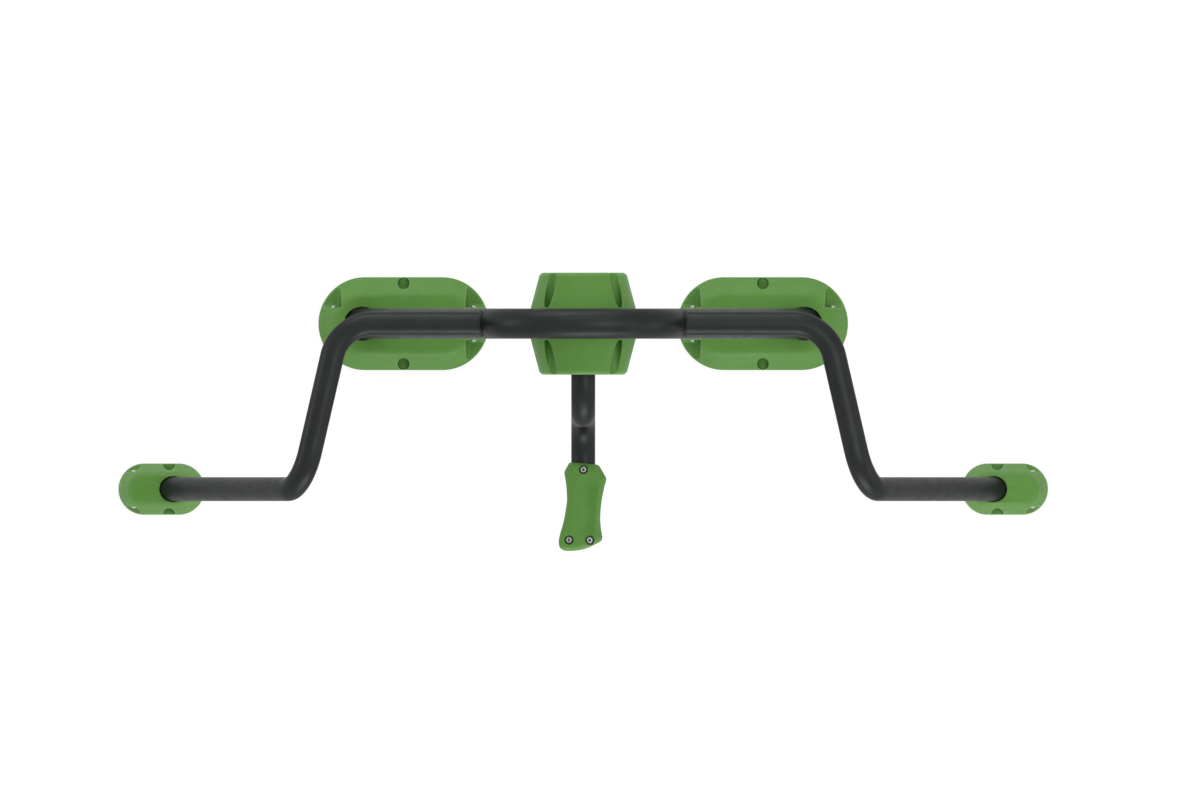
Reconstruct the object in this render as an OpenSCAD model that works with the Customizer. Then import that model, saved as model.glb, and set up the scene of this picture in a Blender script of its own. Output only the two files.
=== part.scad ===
// Outdoor glute trainer: a bent tube arch with a swinging leg lever, two handrails and four ground covers.
// X runs across the machine, Y from the user's side to the back, Z up from the ground.

/* [Arch] */
// Outer diameter of the arch tube
arch_d = 76.1; // [70:0.1:78]
// Wall of the arch tube
arch_wall = 3.2; // [2:0.1:5]
// Radius of the bend over the drum, to the tube's centre line
arch_bend_r = 228; // [220:1:240]
// Angle of every leg from the ground, in degrees
lean = 70; // [69:0.5:73]
// Height of the swing axis, which is also the centre of the arch's bend
pivot_z = 931; // [900:1:960]

/* [Handrails] */
// Outer diameter of the handrail tube
rail_d = 60.3; // [56:0.1:62]
// Wall of the handrail tube
rail_wall = 2.9; // [2:0.1:4]
// Height of the handrails above the swing axis
rail_rise = 34; // [25:1:60]
// Distance of the rail's rear corner from the middle of the machine
rail_corner_x = 611; // [600:1:640]
// How much further out the rail's front corner lies
rail_splay = 95.5; // [85:0.5:110]
// How far the front leg stands ahead of the arch
rail_reach = 415; // [400:1:440]
// Bend radius of the rail's two corners
rail_bend_r = 105; // [95:1:110]

/* [Base plates] */
// Thickness of the steel base plates
plate_t = 10; // [8:0.5:11]
// Room between a base plate's edge and its cover
plate_gap = 4; // [3:0.5:6]
// Radius of the anchor holes under the arch legs
arch_anchor_r = 9; // [6:0.5:10]
// Anchor holes under an arch leg, distance along X
arch_anchor_dx = 280; // [270:1:290]
// Anchor holes under an arch leg, distance along Y
arch_anchor_dy = 130; // [122:1:136]
// Radius of the anchor holes under the handrail legs
rail_anchor_r = 7; // [5:0.5:8]
// Anchor holes under a handrail leg, distance along X
rail_anchor_dx = 136; // [125:1:140]
// Anchor holes under a handrail leg, distance along Y
rail_anchor_dy = 48; // [44:1:50]

/* [Arch leg covers] */
// Length of a cover over an arch leg's foot
arch_cover_len = 427; // [422:1:440]
// Width of that cover
arch_cover_w = 233; // [228:1:240]
// Height of that cover
arch_cover_h = 74; // [70:1:80]
// Plan width of the sloping flank all round it
arch_flank = 40; // [36:1:44]
// Radius between the flank and the flat top
arch_cover_round = 26; // [15:1:30]
// How far the cover's centre lies from the leg's foot, towards the middle
arch_cover_shift = 131; // [128:1:134]
// Distance of the end notches from the cover's centre
arch_notch_x = 154; // [150:1:158]
// Half width of the rib that is left between two notches
arch_notch_y = 40.5; // [38:0.5:46]
// Distance of the cross bolts from the cover's centre
arch_bolt_x = 175; // [172:1:178]
// Distance of the round pockets from the cover's long axis
arch_pocket_y = 100.5; // [96:0.5:101.5]

/* [Handrail leg covers] */
// Length of a cover over a handrail leg's foot
rail_cover_len = 215.6; // [210:0.2:225]
// Width of that cover
rail_cover_w = 128.4; // [126:0.2:134]
// Height of that cover
rail_cover_h = 81; // [76:1:88]
// Plan width of the sloping flank all round it
rail_flank = 25; // [22:1:28]
// Radius between the flank and the flat top
rail_cover_round = 17; // [10:1:20]
// Distance of the outer end's notches from the cover's centre
rail_notch_x = 57; // [54:1:59]
// Half width of the rib that is left between them
rail_notch_y = 43; // [41:0.5:45]
// Distance of the cross bolt from the cover's centre
rail_bolt_x = 69; // [67:1:74]
// Distance of the round pockets from the cover's centre, towards the middle
rail_pocket_x = 19; // [14:1:24]
// Distance of the round pockets from the cover's long axis
rail_pocket_y = 62; // [60:0.5:64]

/* [All covers] */
// Wall of the covers and the pad
cover_wall = 4.5; // [3:0.5:5]
// Height of the upright lip round a cover's foot
cover_lip = 14; // [12:0.5:15]
// Room between a leg and the cover's hole
leg_gap = 3.5; // [2:0.5:4]
// Radius of the round pockets
pocket_r = 14.5; // [11:0.5:15]
// Room between a notch's ledge and the base plate below it
ledge_gap = 1.5; // [1:0.5:3]
// How far a notch's inner wall leans outwards down to its ledge
notch_slope = 8; // [4:1:9]
// Height of the cross bolts
cross_bolt_z = 40; // [36:1:42]

/* [Drum] */
// Radius of the drum where its two shells meet
drum_r = 142; // [138:1:146]
// Depth of each shell
drum_depth = 128; // [124:1:134]
// Slope of the drum's side, in degrees
drum_draft = 14.8; // [13:0.2:15.6]
// Radius of the drum's outer edge
drum_edge_r = 13; // [8:1:16]
// Wall of the drum shells
drum_wall = 5; // [3:0.5:6]
// Radius of the screw grooves
groove_r = 15; // [12:0.5:16]
// Distance of the screw grooves from the swing axis
groove_place_r = 116; // [114:1:118]
// Distance of a groove's bottom from the parting plane
groove_end = 40; // [34:1:46]
// Thickness of the armed plates between the shells
mount_t = 6; // [4:0.5:8]
// Width of the arms of these plates
mount_arm_w = 34; // [28:1:38]
// Radius of these plates round the bearing housing
mount_hub_r = 66; // [60:1:72]
// Room between the lever and the drum's front hole
lever_gap = 3; // [2:0.5:5]

/* [Bearings and shaft] */
// Outer diameter of the bearing housing
housing_d = 82.5; // [78:0.5:86]
// Distance of the housing's ends from the arch plane
housing_end = 62; // [61:0.5:64]
// Outer diameter of the ball bearings
bearing_od = 62; // [60:0.5:64]
// Shaft diameter
shaft_d = 30; // [29:0.5:31]
// Width of the ball bearings
bearing_w = 16; // [14:0.5:17]
// Distance of a bearing's outer face from the arch plane
bearing_face = 58; // [56:0.5:58.5]
// Radius of a bearing ball
ball_r = 4.5; // [4:0.1:4.8]
// Balls in each bearing
ball_count = 9; // [7:1:10]
// Outer diameter of the tubes that carry the housing
cross_d = 60.3; // [50:0.1:64]
// Wall of these tubes
cross_wall = 3.6; // [2:0.1:5]

/* [Hub and stops] */
// Radius of the lever's hub disc
hub_r = 57; // [52:1:58]
// Thickness of the hub disc
hub_t = 12; // [8:0.5:14]
// Distance between the housing and the hub disc
hub_gap = 10; // [8:0.5:12]
// Width of the stop lug on the hub
lug_w = 24; // [18:1:28]
// Length of the lug, measured out from the shaft's centre line
lug_len = 89; // [86:0.5:92]
// Swing of the lever to each side, in degrees
swing = 50; // [40:1:54]
// Radius of the rubber buffers
buffer_r = 10; // [8:0.5:12]
// Thickness of the rubber buffers
buffer_t = 12; // [8:0.5:14]
// Thickness of the stop bracket's ears
ear_t = 8; // [5:0.5:10]
// Thickness of the stop bracket's plate
stop_t = 6; // [4:0.5:7]
// Width of the bracket's ring round the bearing housing
stop_ring_w = 14; // [10:1:16]

/* [Lever] */
// Outer diameter of the lever tube
lever_d = 60.3; // [56:0.1:61]
// Wall of the lever tube
lever_wall = 3.6; // [2.5:0.1:5]
// How far the lever's drop lies ahead of the arch
lever_out = 230; // [226:1:236]
// Bend radius at the top of the drop
lever_top_r = 84; // [78:1:88]
// Bend radius at the bottom of the drop
lever_low_r = 105; // [95:1:110]
// Height of the pad's centre above the ground
pad_z = 350; // [300:1:420]

/* [Pad] */
// Distance of the pad's rear edge from the arch plane
pad_start = 347.2; // [344:0.2:352]
// Length of the pad
pad_len = 223.2; // [218:0.2:232]
// Half width of the pad at its widest place
pad_half_w = 61; // [60:0.5:64]
// Height of the pad
pad_h = 96; // [92:1:104]
// Radius round the pad's upper and lower edges
pad_edge_r = 14; // [10:1:16]
// Depth of the shallow channel along the pad's top and underside
channel_depth = 2.5; // [1:0.5:3]
// Width of that channel
channel_w = 32; // [24:1:38]
// Radius of the pad's screw recesses
recess_r = 12; // [11:0.5:13]
// Distance of the recess floors from the pad's parting plane
recess_floor = 36.5; // [36:0.5:39]
// Thickness of the ribs that hold the lever inside the pad
rib_t = 6; // [3:0.5:8]

/* [Fasteners] */
// Shank radius of the cover and drum screws
screw_r = 4; // [3:0.5:4.5]
// Head radius of these screws
screw_head_r = 7; // [6.8:0.2:8]
// Head height of these screws
screw_head_h = 4.4; // [3:0.2:5]
// Shank radius of the pad screws
pad_screw_r = 5; // [4:0.5:5.5]
// Head radius of the pad screws
pad_head_r = 8.8; // [8.2:0.2:9.6]
// Head height of the pad screws
pad_head_h = 5.5; // [4:0.5:6]

/* [Hidden] */
$fn = 96;

// Cuts run this far past what they cut
overrun = 1;
// Cuts that end flush run this hair past the face
hair = 0.01;
// Room between a welded tube end and what it is welded to
weld_gap = 0.2;
// Room between a piece and the one that it slips over, where both are on one body
slip = 0.15;
// Room of the fits on the shaft and in the housing
fit_gap = 0.05;
// Room between the balls and their races
race_gap = 0.3;
// Room round a shank in its hole
hole_gap = 0.3;
// Room between the drum and the tubes that enter its sides
cross_gap = 1.5;
// Room between the lug and a buffer at the end of the swing
buffer_gap = 0.5;
// Steps of a rounded corner in an outline
round_steps = 6;
// How far a tube's bend laps over the straight runs beside it
bend_lap = 1;
// How much further out and in the wall of a bend lies, as a share of the tube's diameter
bend_swell_share = 0.006;

// Angles of a whole and a half turn
full_turn = 360;
half_turn = full_turn / 2;

// Places that follow from the driving sizes
rail_z = pivot_z + rail_rise;
tangent_x = arch_bend_r * sin(lean);
tangent_z = pivot_z + arch_bend_r * cos(lean);
arch_foot_x = tangent_x + tangent_z / tan(lean);
rail_start_x = tangent_x + (tangent_z - rail_z) / tan(lean);
rail_front_x = rail_corner_x + rail_splay;
rail_foot_x = rail_front_x + rail_z / tan(lean);
pad_front = pad_start + pad_len;
arch_y = (pad_front - drum_depth) / 2;
rail_front_y = arch_y - rail_reach;
arch_cover_x = arch_foot_x - arch_cover_shift;
// Larger than the whole machine, for cutting along a plane
far = 2 * (rail_foot_x + rail_cover_len);

// Corner points of the bent tubes, the handrail's on the +X side
arch_path = [[-arch_foot_x, arch_y, 0], [0, arch_y, arch_foot_x * tan(lean)], [arch_foot_x, arch_y, 0]];
rail_path = [[rail_start_x, arch_y, rail_z], [rail_corner_x, arch_y, rail_z],
    [rail_front_x, rail_front_y, rail_z], [rail_foot_x, rail_front_y, 0]];

// The lever's places, as distances ahead of the arch plane
hub_rear = housing_end + hub_gap;
hub_front = hub_rear + hub_t;
pad_tube_end_share = 0.78;
lever_end = pad_start + pad_len * pad_tube_end_share;
lever_path = [[0, -hub_front, pivot_z], [0, -lever_out, pivot_z], [0, -lever_out, pad_z],
    [0, -lever_end, pad_z]];
plug_t = 5;
plug_insert = 18;

// Bearing races
ball_ring_r = (bearing_od + shaft_d) / 4;
race_gap_share = 0.6;
race_half_gap = ball_r * race_gap_share;
housing_bore_r = bearing_od / 2 - bearing_w / 4;
circlip_t = 1.75;
circlip_seat = 1.8;
circlip_r = bearing_od / 2 + circlip_seat;
circlip_w = 6;

// Shaft end, washer, nut and key
thread_step = 3;
thread_r = shaft_d / 2 - thread_step;
washer_t = 4;
washer_rim = 7;
washer_r = shaft_d / 2 + washer_rim;
nut_t = 20;
nut_flats = 36;
thread_spare = 4;
key_w = 8;
key_h = 7;
key_depth = 4;
spacer_wall = 4.5;

// Stops, measured in the plane of the swing
buffer_inset = 4;
buffer_place_r = lug_len - buffer_r - buffer_inset;
ear_gap = 4;
ear_low_r = hub_r + ear_gap;
stop_inset = 2;
ear_high_r = lug_len + stop_inset;
ear_x = lug_w / 2 + buffer_gap + buffer_t;

// Covers
notch_floor = plate_t + ledge_gap + cover_wall;
boss_wall = 5;
bolt_boss_r = screw_r + boss_wall;

// Wall of the sleeve nuts, length of a screw as a share of its seat's depth, and its head's form
sleeve_wall = 1.5;
screw_len_share = 1.5;
socket_r_share = 0.42;
socket_floor_share = 0.35;
dome_share = 0.75;

// Pad: outline points as shares of its half width and of its length from the rear edge
pad_outline_shares = [[-0.52, 0.00], [-0.66, 0.05], [-0.77, 0.117], [-0.70, 0.24], [-0.664, 0.37],
    [-0.668, 0.45], [-0.725, 0.546], [-0.815, 0.683], [-0.93, 0.80], [-1.00, 0.884], [-0.948, 0.955],
    [-0.77, 0.993], [-0.507, 1.00], [-0.182, 0.992], [0.167, 0.968], [0.521, 0.919], [0.73, 0.88],
    [0.78, 0.843], [0.726, 0.771], [0.698, 0.683], [0.707, 0.562], [0.743, 0.482], [0.80, 0.37],
    [0.874, 0.273], [0.935, 0.203], [0.846, 0.150], [0.70, 0.093], [0.611, 0.037], [0.10, 0.02]];
pad_screw_shares = [[0.003, 0.084], [-0.588, 0.875], [0.266, 0.878]];
pad_rib_shares = [0.17, 0.36, 0.55, 0.74];
pad_curve_steps = 2;
pad_sleeve_r = pad_screw_r + sleeve_wall;
groove_angles = [45, 135, 225, 315];
mount_end_share = 0.7;

// Vector and outline helpers
function unit(v) = v / norm(v);
function fillet(before, corner, after, r, steps = round_steps) =
    let (a = unit(before - corner), b = unit(after - corner), half = acos(a * b) / 2,
        centre = corner + unit(a + b) * r / sin(half),
        first = corner + a * r / tan(half) - centre,
        last = corner + b * r / tan(half) - centre,
        start = atan2(first.y, first.x),
        turn = (atan2(last.y, last.x) - start + full_turn + half_turn) % full_turn - half_turn)
    [for (i = [0 : steps]) centre + r * [cos(start + turn * i / steps), sin(start + turn * i / steps)]];
function spline(a, b, c, d, t) =
    (2 * b + (c - a) * t + (2 * a - 5 * b + 4 * c - d) * t * t + (3 * b - a - 3 * c + d) * t * t * t) / 2;
function smooth_loop(points, steps) =
    let (n = len(points))
    [for (i = [0 : n - 1], s = [0 : steps - 1])
        spline(points[(i + n - 1) % n], points[i], points[(i + 1) % n], points[(i + 2) % n], s / steps)];

// Round rod between two points
module rod(p, q, r) {
    translate(p) rotate(heading(q - p)) cylinder(h = norm(q - p), r = r);
}

// Straight tube up from the origin
module pipe(length, od, wall) {
    difference() {
        cylinder(h = length, d = od);
        translate([0, 0, -overrun]) cylinder(h = length + 2 * overrun, d = od - 2 * wall);
    }
}

// Rotation that turns +Z to the direction d, and where it leaves +X
function heading(d) = [0, acos(d.z / norm(d)), atan2(d.y, d.x)];
function side_of(d) = let (a = heading(d)) [cos(a.y) * cos(a.z), cos(a.y) * sin(a.z), -sin(a.y)];

// Frame at the end of a bend from +Z towards +X
module past_bend(bend, turn) {
    translate([bend, 0, 0]) rotate([0, turn, 0]) translate([-bend, 0, 0]) children();
}

// Bend of a tube from +Z towards +X, a hair thicker than the straight runs that it laps at both ends
module elbow(bend, turn, od, wall) {
    lap = asin(bend_lap / bend);
    swell = od * bend_swell_share;
    translate([bend, 0, 0]) rotate([90, 0, 0]) rotate([0, 0, 180 - turn - lap])
        rotate_extrude(angle = turn + 2 * lap) translate([bend, 0]) difference() {
            circle(d = od + 2 * swell);
            circle(d = od - 2 * wall - 2 * swell);
        }
}

// Length that the bend at corner i takes from the straight runs beside it
function cut_back(path, bends, i) =
    i == 0 || i == len(path) - 1 ? 0
        : bends[i - 1] * tan(acos(unit(path[i] - path[i - 1]) * unit(path[i + 1] - path[i])) / 2);

// Tube from run i on, up from the origin; side is where +X points in the machine's frame
module tube_from(path, bends, od, wall, side, i) {
    length = norm(path[i + 1] - path[i]) - cut_back(path, bends, i) - cut_back(path, bends, i + 1);
    pipe(length, od, wall);
    if (i < len(path) - 2) {
        along = unit(path[i + 1] - path[i]);
        next = unit(path[i + 2] - path[i + 1]);
        turn = acos(along * next);
        towards = unit(next - along * (along * next));
        roll = atan2(towards * cross(along, side), towards * side);
        translate([0, 0, length]) rotate([0, 0, roll]) {
            elbow(bends[i], turn, od, wall);
            past_bend(bends[i], turn)
                tube_from(path, bends, od, wall, towards * cos(turn) - along * sin(turn), i + 1);
        }
    }
}

// Tube along a path of corner points, each inner corner bent to its radius
module bent_tube(path, bends, od, wall) {
    start = path[1] - path[0];
    translate(path[0]) rotate(heading(start)) tube_from(path, bends, od, wall, side_of(start), 0);
}

// Block below the top of the base plates, which trims the legs
module below_plates() {
    translate([-far, -far, plate_t - far]) cube([2 * far, 2 * far, far]);
}

// Keeps a piece on the +X side, or mirrors it to the other side
module to_side(side) {
    mirror([side < 0 ? 1 : 0, 0, 0]) children();
}

// Everything on the lever and the drum is drawn about the arch plane
module at_arch() {
    translate([0, arch_y, 0]) children();
}

// Local Z runs forward along the swing axis, local Y up
module on_axis() {
    translate([0, arch_y, pivot_z]) rotate([90, 0, 0]) children();
}

// Leg of the arch on the +X side, as a rod of radius r
module arch_leg_rod(r) {
    rod([arch_foot_x, arch_y, 0] - unit(arch_path[1] - arch_path[2]) * arch_bend_r, arch_path[1], r);
}

module arch_tube() {
    color([0.20, 0.21, 0.22]) difference() {
        bent_tube(arch_path, [arch_bend_r], arch_d, arch_wall);
        below_plates();
    }
}

module handrail(side) {
    color([0.20, 0.21, 0.22]) to_side(side) difference() {
        bent_tube(rail_path, [rail_bend_r, rail_bend_r], rail_d, rail_wall);
        arch_leg_rod(arch_d / 2 + weld_gap);
        below_plates();
    }
}

module cross_tube(side) {
    color([0.20, 0.21, 0.22]) to_side(side) difference() {
        translate([0, arch_y, pivot_z]) rotate([0, 90, 0]) pipe(tangent_x + arch_d / 2, cross_d, cross_wall);
        arch_leg_rod(arch_d / 2 + weld_gap);
        on_axis() cylinder(h = 2 * cross_d, d = housing_d + 2 * weld_gap, center = true);
    }
}

module bearing_housing() {
    seat = bearing_face - bearing_w;
    color([0.45, 0.46, 0.47]) on_axis() difference() {
        cylinder(h = 2 * housing_end, d = housing_d, center = true);
        cylinder(h = 2 * housing_end + 2 * overrun, r = housing_bore_r, center = true);
        for (end = [0, 1]) mirror([0, 0, end]) {
            translate([0, 0, seat]) cylinder(h = housing_end, d = bearing_od + 2 * fit_gap);
            translate([0, 0, bearing_face]) cylinder(h = circlip_t + fit_gap, r = circlip_r + slip);
        }
    }
}

// Outline of the upper plate, which ends above the cross tubes
module mount_outline() {
    difference() {
        union() {
            circle(r = mount_hub_r);
            for (angle = [groove_angles[0], groove_angles[1]]) rotate(angle) {
                translate([0, -mount_arm_w / 2]) square([groove_place_r, mount_arm_w]);
                translate([groove_place_r, 0]) circle(d = mount_arm_w * mount_end_share);
            }
        }
        translate([-far, -far]) square([2 * far, far + cross_d / 2 + weld_gap]);
        circle(d = housing_d + 2 * weld_gap);
        for (angle = [groove_angles[0], groove_angles[1]]) rotate(angle) translate([groove_place_r, 0])
            circle(r = screw_r + sleeve_wall + hole_gap);
    }
}

module drum_mount_plates() {
    color([0.45, 0.46, 0.47]) on_axis() for (half = [0, 1]) mirror([0, half, 0])
        linear_extrude(height = mount_t, center = true) mount_outline();
}

// Frame of one stop: local Y runs out along the lug's centre line at the end of the swing
module stop_frame(side) {
    mirror([side < 0 ? 1 : 0, 0, 0]) rotate([0, 0, -swing]) children();
}

// Outline of the plate that carries both stops and rings the bearing housing
module stop_outline() {
    difference() {
        union() {
            circle(d = housing_d + 2 * stop_ring_w);
            for (side = [-1, 1]) mirror([side < 0 ? 1 : 0, 0]) rotate(-swing)
                translate([-lug_w / 2, 0]) square([lug_w / 2 + ear_x + ear_t + stop_inset, ear_high_r]);
        }
        circle(d = housing_d + 2 * weld_gap);
    }
}

module stop_bracket() {
    plate_rear = housing_end - stop_inset - stop_t;
    color([0.45, 0.46, 0.47]) on_axis() {
        translate([0, 0, plate_rear]) linear_extrude(height = stop_t) stop_outline();
        for (side = [-1, 1]) stop_frame(side) translate([ear_x, ear_low_r, plate_rear + stop_t / 2])
            cube([ear_t, ear_high_r - stop_inset - ear_low_r, hub_front - plate_rear - stop_t / 2]);
    }
}

module stop_buffers() {
    color([0.08, 0.08, 0.08]) on_axis() for (side = [-1, 1]) stop_frame(side)
        translate([lug_w / 2 + buffer_gap, buffer_place_r, hub_rear + hub_t / 2])
            rotate([0, 90, 0]) cylinder(h = buffer_t, r = buffer_r);
}

// One bearing ring's section, with the groove for the balls
module ring_section(inner_r, outer_r) {
    difference() {
        translate([inner_r, 0]) square([outer_r - inner_r, bearing_w]);
        translate([ball_ring_r, bearing_w / 2]) circle(r = ball_r + race_gap);
    }
}

// Both bearings' places, each starting at its inner end
module at_bearings() {
    on_axis() for (end = [0, 1]) mirror([0, 0, end]) translate([0, 0, bearing_face - bearing_w])
        children();
}

module bearing_outer_rings() {
    color([0.70, 0.71, 0.72]) at_bearings() rotate_extrude()
        ring_section(ball_ring_r + race_half_gap, bearing_od / 2);
}

module bearing_inner_rings() {
    color([0.70, 0.71, 0.72]) at_bearings() rotate_extrude()
        ring_section(shaft_d / 2 + fit_gap, ball_ring_r - race_half_gap);
}

module bearing_balls() {
    color([0.80, 0.81, 0.82]) at_bearings() for (i = [0 : ball_count - 1])
        rotate([0, 0, 360 * i / ball_count]) translate([ball_ring_r, 0, bearing_w / 2]) sphere(r = ball_r);
}

module bearing_circlips() {
    color([0.30, 0.30, 0.31]) on_axis() for (end = [0, 1]) mirror([0, 0, end])
        translate([0, 0, bearing_face]) difference() {
            cylinder(h = circlip_t, r = circlip_r);
            translate([0, 0, -overrun]) cylinder(h = circlip_t + 2 * overrun, r = circlip_r - circlip_w);
            translate([0, -circlip_w / 2, -overrun])
                cube([circlip_r + overrun, circlip_w, circlip_t + 2 * overrun]);
        }
}

// Half section of the drum, radius across and depth up, drawn in from the outside by inset
module drum_section(inset) {
    mouth = [drum_r - inset / cos(drum_draft), 0];
    depth = drum_depth - inset;
    corner = [mouth.x - depth * tan(drum_draft), depth];
    polygon(concat([[0, 0], mouth], fillet(mouth, corner, [0, depth], drum_edge_r - inset), [[0, depth]]));
}

module at_grooves() {
    for (angle = groove_angles) rotate([0, 0, angle]) translate([groove_place_r, 0, 0]) children();
}

// Drum shell in front of the parting plane; bore_r is the radius of the holes at its four bosses
module drum_shell(bore_r) {
    difference() {
        rotate_extrude() drum_section(0);
        difference() {
            translate([0, 0, -hair]) rotate_extrude() drum_section(drum_wall);
            at_grooves() translate([0, 0, mount_t / 2]) cylinder(h = drum_depth, r = groove_r + drum_wall);
        }
        at_grooves() translate([0, 0, groove_end]) cylinder(h = drum_depth, r = groove_r);
        at_grooves() translate([0, 0, -overrun]) cylinder(h = drum_depth, r = bore_r);
        rod([-drum_r - overrun, 0, 0], [drum_r + overrun, 0, 0], cross_d / 2 + cross_gap);
    }
}

module drum_front_shell() {
    color([0.38, 0.58, 0.24]) on_axis() difference() {
        drum_shell(screw_r + hole_gap);
        translate([0, 0, drum_depth - 2 * drum_wall])
            cylinder(h = 2 * drum_wall + overrun, r = lever_d / 2 + lever_gap);
    }
}

module drum_rear_shell() {
    color([0.38, 0.58, 0.24]) on_axis() mirror([0, 0, 1])
        drum_shell(screw_r + sleeve_wall + hole_gap);
}

// Domed screw head on its seat at zero, with a six-sided socket
module domed_head(head_r, head_h) {
    difference() {
        rotate_extrude() polygon(concat([[0, 0], [head_r, 0]],
            fillet([head_r, 0], [head_r, head_h], [0, head_h], head_h * dome_share), [[0, head_h]]));
        translate([0, 0, head_h * socket_floor_share])
            cylinder(h = head_h, r = head_r * socket_r_share, $fn = 6);
    }
}

// Screw with its head above zero and its shank below
module button_screw(shank_r, head_r, head_h, shank) {
    domed_head(head_r, head_h);
    translate([0, 0, -shank]) cylinder(h = shank, r = shank_r);
}

// Sleeve nut with its head above zero; a screw enters its sleeve from below
module sleeve_nut(shank_r, head_r, head_h, sleeve) {
    domed_head(head_r, head_h);
    translate([0, 0, -sleeve]) difference() {
        cylinder(h = sleeve, r = shank_r + sleeve_wall);
        translate([0, 0, -overrun]) cylinder(h = sleeve - sleeve_wall + overrun, r = shank_r + slip);
    }
}

module drum_screws() {
    color([0.75, 0.76, 0.77]) on_axis() at_grooves() translate([0, 0, groove_end])
        button_screw(screw_r, screw_head_r, screw_head_h, screw_len_share * groove_end);
}

module drum_sleeve_nuts() {
    color([0.75, 0.76, 0.77]) on_axis() mirror([0, 0, 1]) at_grooves() translate([0, 0, groove_end])
        sleeve_nut(screw_r, screw_head_r, screw_head_h, groove_end + mount_t / 2);
}

// Flat plate with round ends and four anchor holes
module base_plate(length, width, hole_r, dx, dy) {
    color([0.45, 0.46, 0.47]) difference() {
        union() {
            translate([(width - length) / 2, -width / 2, 0]) cube([length - width, width, plate_t]);
            for (end = [-1, 1]) translate([end * (length - width) / 2, 0, 0])
                cylinder(h = plate_t, d = width);
        }
        for (x = [-dx / 2, dx / 2], y = [-dy / 2, dy / 2]) translate([x, y, -overrun])
            cylinder(h = plate_t + 2 * overrun, r = hole_r);
    }
}

module arch_plate(side) {
    inset = 2 * (cover_wall + plate_gap);
    translate([side * arch_cover_x, arch_y, 0])
        base_plate(arch_cover_len - inset, arch_cover_w - inset, arch_anchor_r, arch_anchor_dx,
            arch_anchor_dy);
}

module rail_plate(side) {
    inset = 2 * (cover_wall + plate_gap);
    translate([side * rail_foot_x, rail_front_y, 0])
        base_plate(rail_cover_len - inset, rail_cover_w - inset, rail_anchor_r, rail_anchor_dx,
            rail_anchor_dy);
}

// Half section of a ground cover, drawn in from the outside by inset
module cover_section(half_w, height, flank, round_r, inset) {
    foot = [half_w - inset, cover_lip - inset / 2];
    shoulder = [half_w - flank - inset, height - inset];
    polygon(concat([[0, 0], [half_w - inset, 0], foot],
        fillet(foot, shoulder, [0, height - inset], round_r - inset / 2), [[0, height - inset]]));
}

// A section swept round a long oval
module long_oval(length, half_w) {
    run = length / 2 - half_w;
    for (end = [0, 1]) mirror([end, 0, 0]) translate([run, 0, 0]) rotate([0, 0, -90])
        rotate_extrude(angle = 180) children();
    rotate([90, 0, 90]) linear_extrude(height = 2 * run, center = true)
        for (half = [0, 1]) mirror([half, 0]) children();
}

// Room of a cover's notch, or of the notch with a wall round it
module notch(start, rib, height, grow) {
    floor_z = notch_floor - grow;
    for (half = [0, 1]) mirror([0, half, 0]) translate([0, rib - grow, 0]) rotate([90, 0, 0])
        mirror([0, 0, 1]) linear_extrude(height = far)
            polygon([[start - grow, height + overrun], [start + notch_slope - grow, floor_z],
                [far, floor_z], [far, height + overrun]]);
}

// Both shells of a ground cover together: its leg foot lies at leg_x, pockets at pocket, and the
// notches and their bolts at the ends listed in ends
module cover_body(length, width, height, flank, round_r, notch_x, notch_y, bolt_x, ends, pocket, leg_x,
        leg_r) {
    top = height + overrun;
    up = [-cos(lean), 0, sin(lean)];
    difference() {
        long_oval(length, width / 2) cover_section(width / 2, height, flank, round_r, 0);
        difference() {
            translate([0, 0, -hair]) long_oval(length - 2 * cover_wall, width / 2 - cover_wall)
                cover_section(width / 2, height, flank, round_r, cover_wall);
            for (end = ends) mirror([end < 0 ? 1 : 0, 0, 0]) {
                notch(notch_x, notch_y, height, cover_wall);
                translate([bolt_x, 0, cross_bolt_z]) rotate([90, 0, 0])
                    cylinder(h = width, r = bolt_boss_r, center = true);
            }
            for (half = [-1, 1]) translate([pocket.x, half * pocket.y, plate_t])
                cylinder(h = height, r = pocket_r + cover_wall);
        }
        for (end = ends) mirror([end < 0 ? 1 : 0, 0, 0]) {
            notch(notch_x, notch_y, height, 0);
            translate([bolt_x, 0, cross_bolt_z]) rotate([90, 0, 0])
                cylinder(h = width, r = screw_r + sleeve_wall + hole_gap, center = true);
        }
        for (half = [-1, 1]) translate([pocket.x, half * pocket.y, plate_t + cover_wall])
            cylinder(h = top, r = pocket_r);
        rod([leg_x, 0, 0], [leg_x, 0, 0] + up * 2 * height, leg_r + leg_gap);
    }
}

// Keeps the front or the rear half of what is drawn about the plane y = 0
module half_of(front) {
    intersection() {
        children();
        translate([-far, front ? -far : 0, -far]) cube([2 * far, far, 2 * far]);
    }
}

module arch_cover(side, front) {
    color([0.38, 0.58, 0.24]) to_side(side) translate([arch_cover_x, arch_y, 0]) half_of(front)
        cover_body(arch_cover_len, arch_cover_w, arch_cover_h, arch_flank, arch_cover_round, arch_notch_x,
            arch_notch_y, arch_bolt_x, [-1, 1], [0, arch_pocket_y], arch_cover_shift, arch_d / 2);
}

module rail_cover(side, front) {
    color([0.38, 0.58, 0.24]) to_side(side) translate([rail_foot_x, rail_front_y, 0]) half_of(front)
        cover_body(rail_cover_len, rail_cover_w, rail_cover_h, rail_flank, rail_cover_round, rail_notch_x,
            rail_notch_y, rail_bolt_x, [1], [-rail_pocket_x, rail_pocket_y], 0, rail_d / 2);
}

// Seats of the cross bolts, local Z pointing out of the front or the rear notch
module at_arch_bolts(front) {
    for (side = [-1, 1], end = [-1, 1])
        translate([side * (arch_cover_x + end * arch_bolt_x), arch_y, cross_bolt_z])
            rotate([front ? 90 : -90, 0, 0]) translate([0, 0, arch_notch_y]) children();
}

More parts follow.
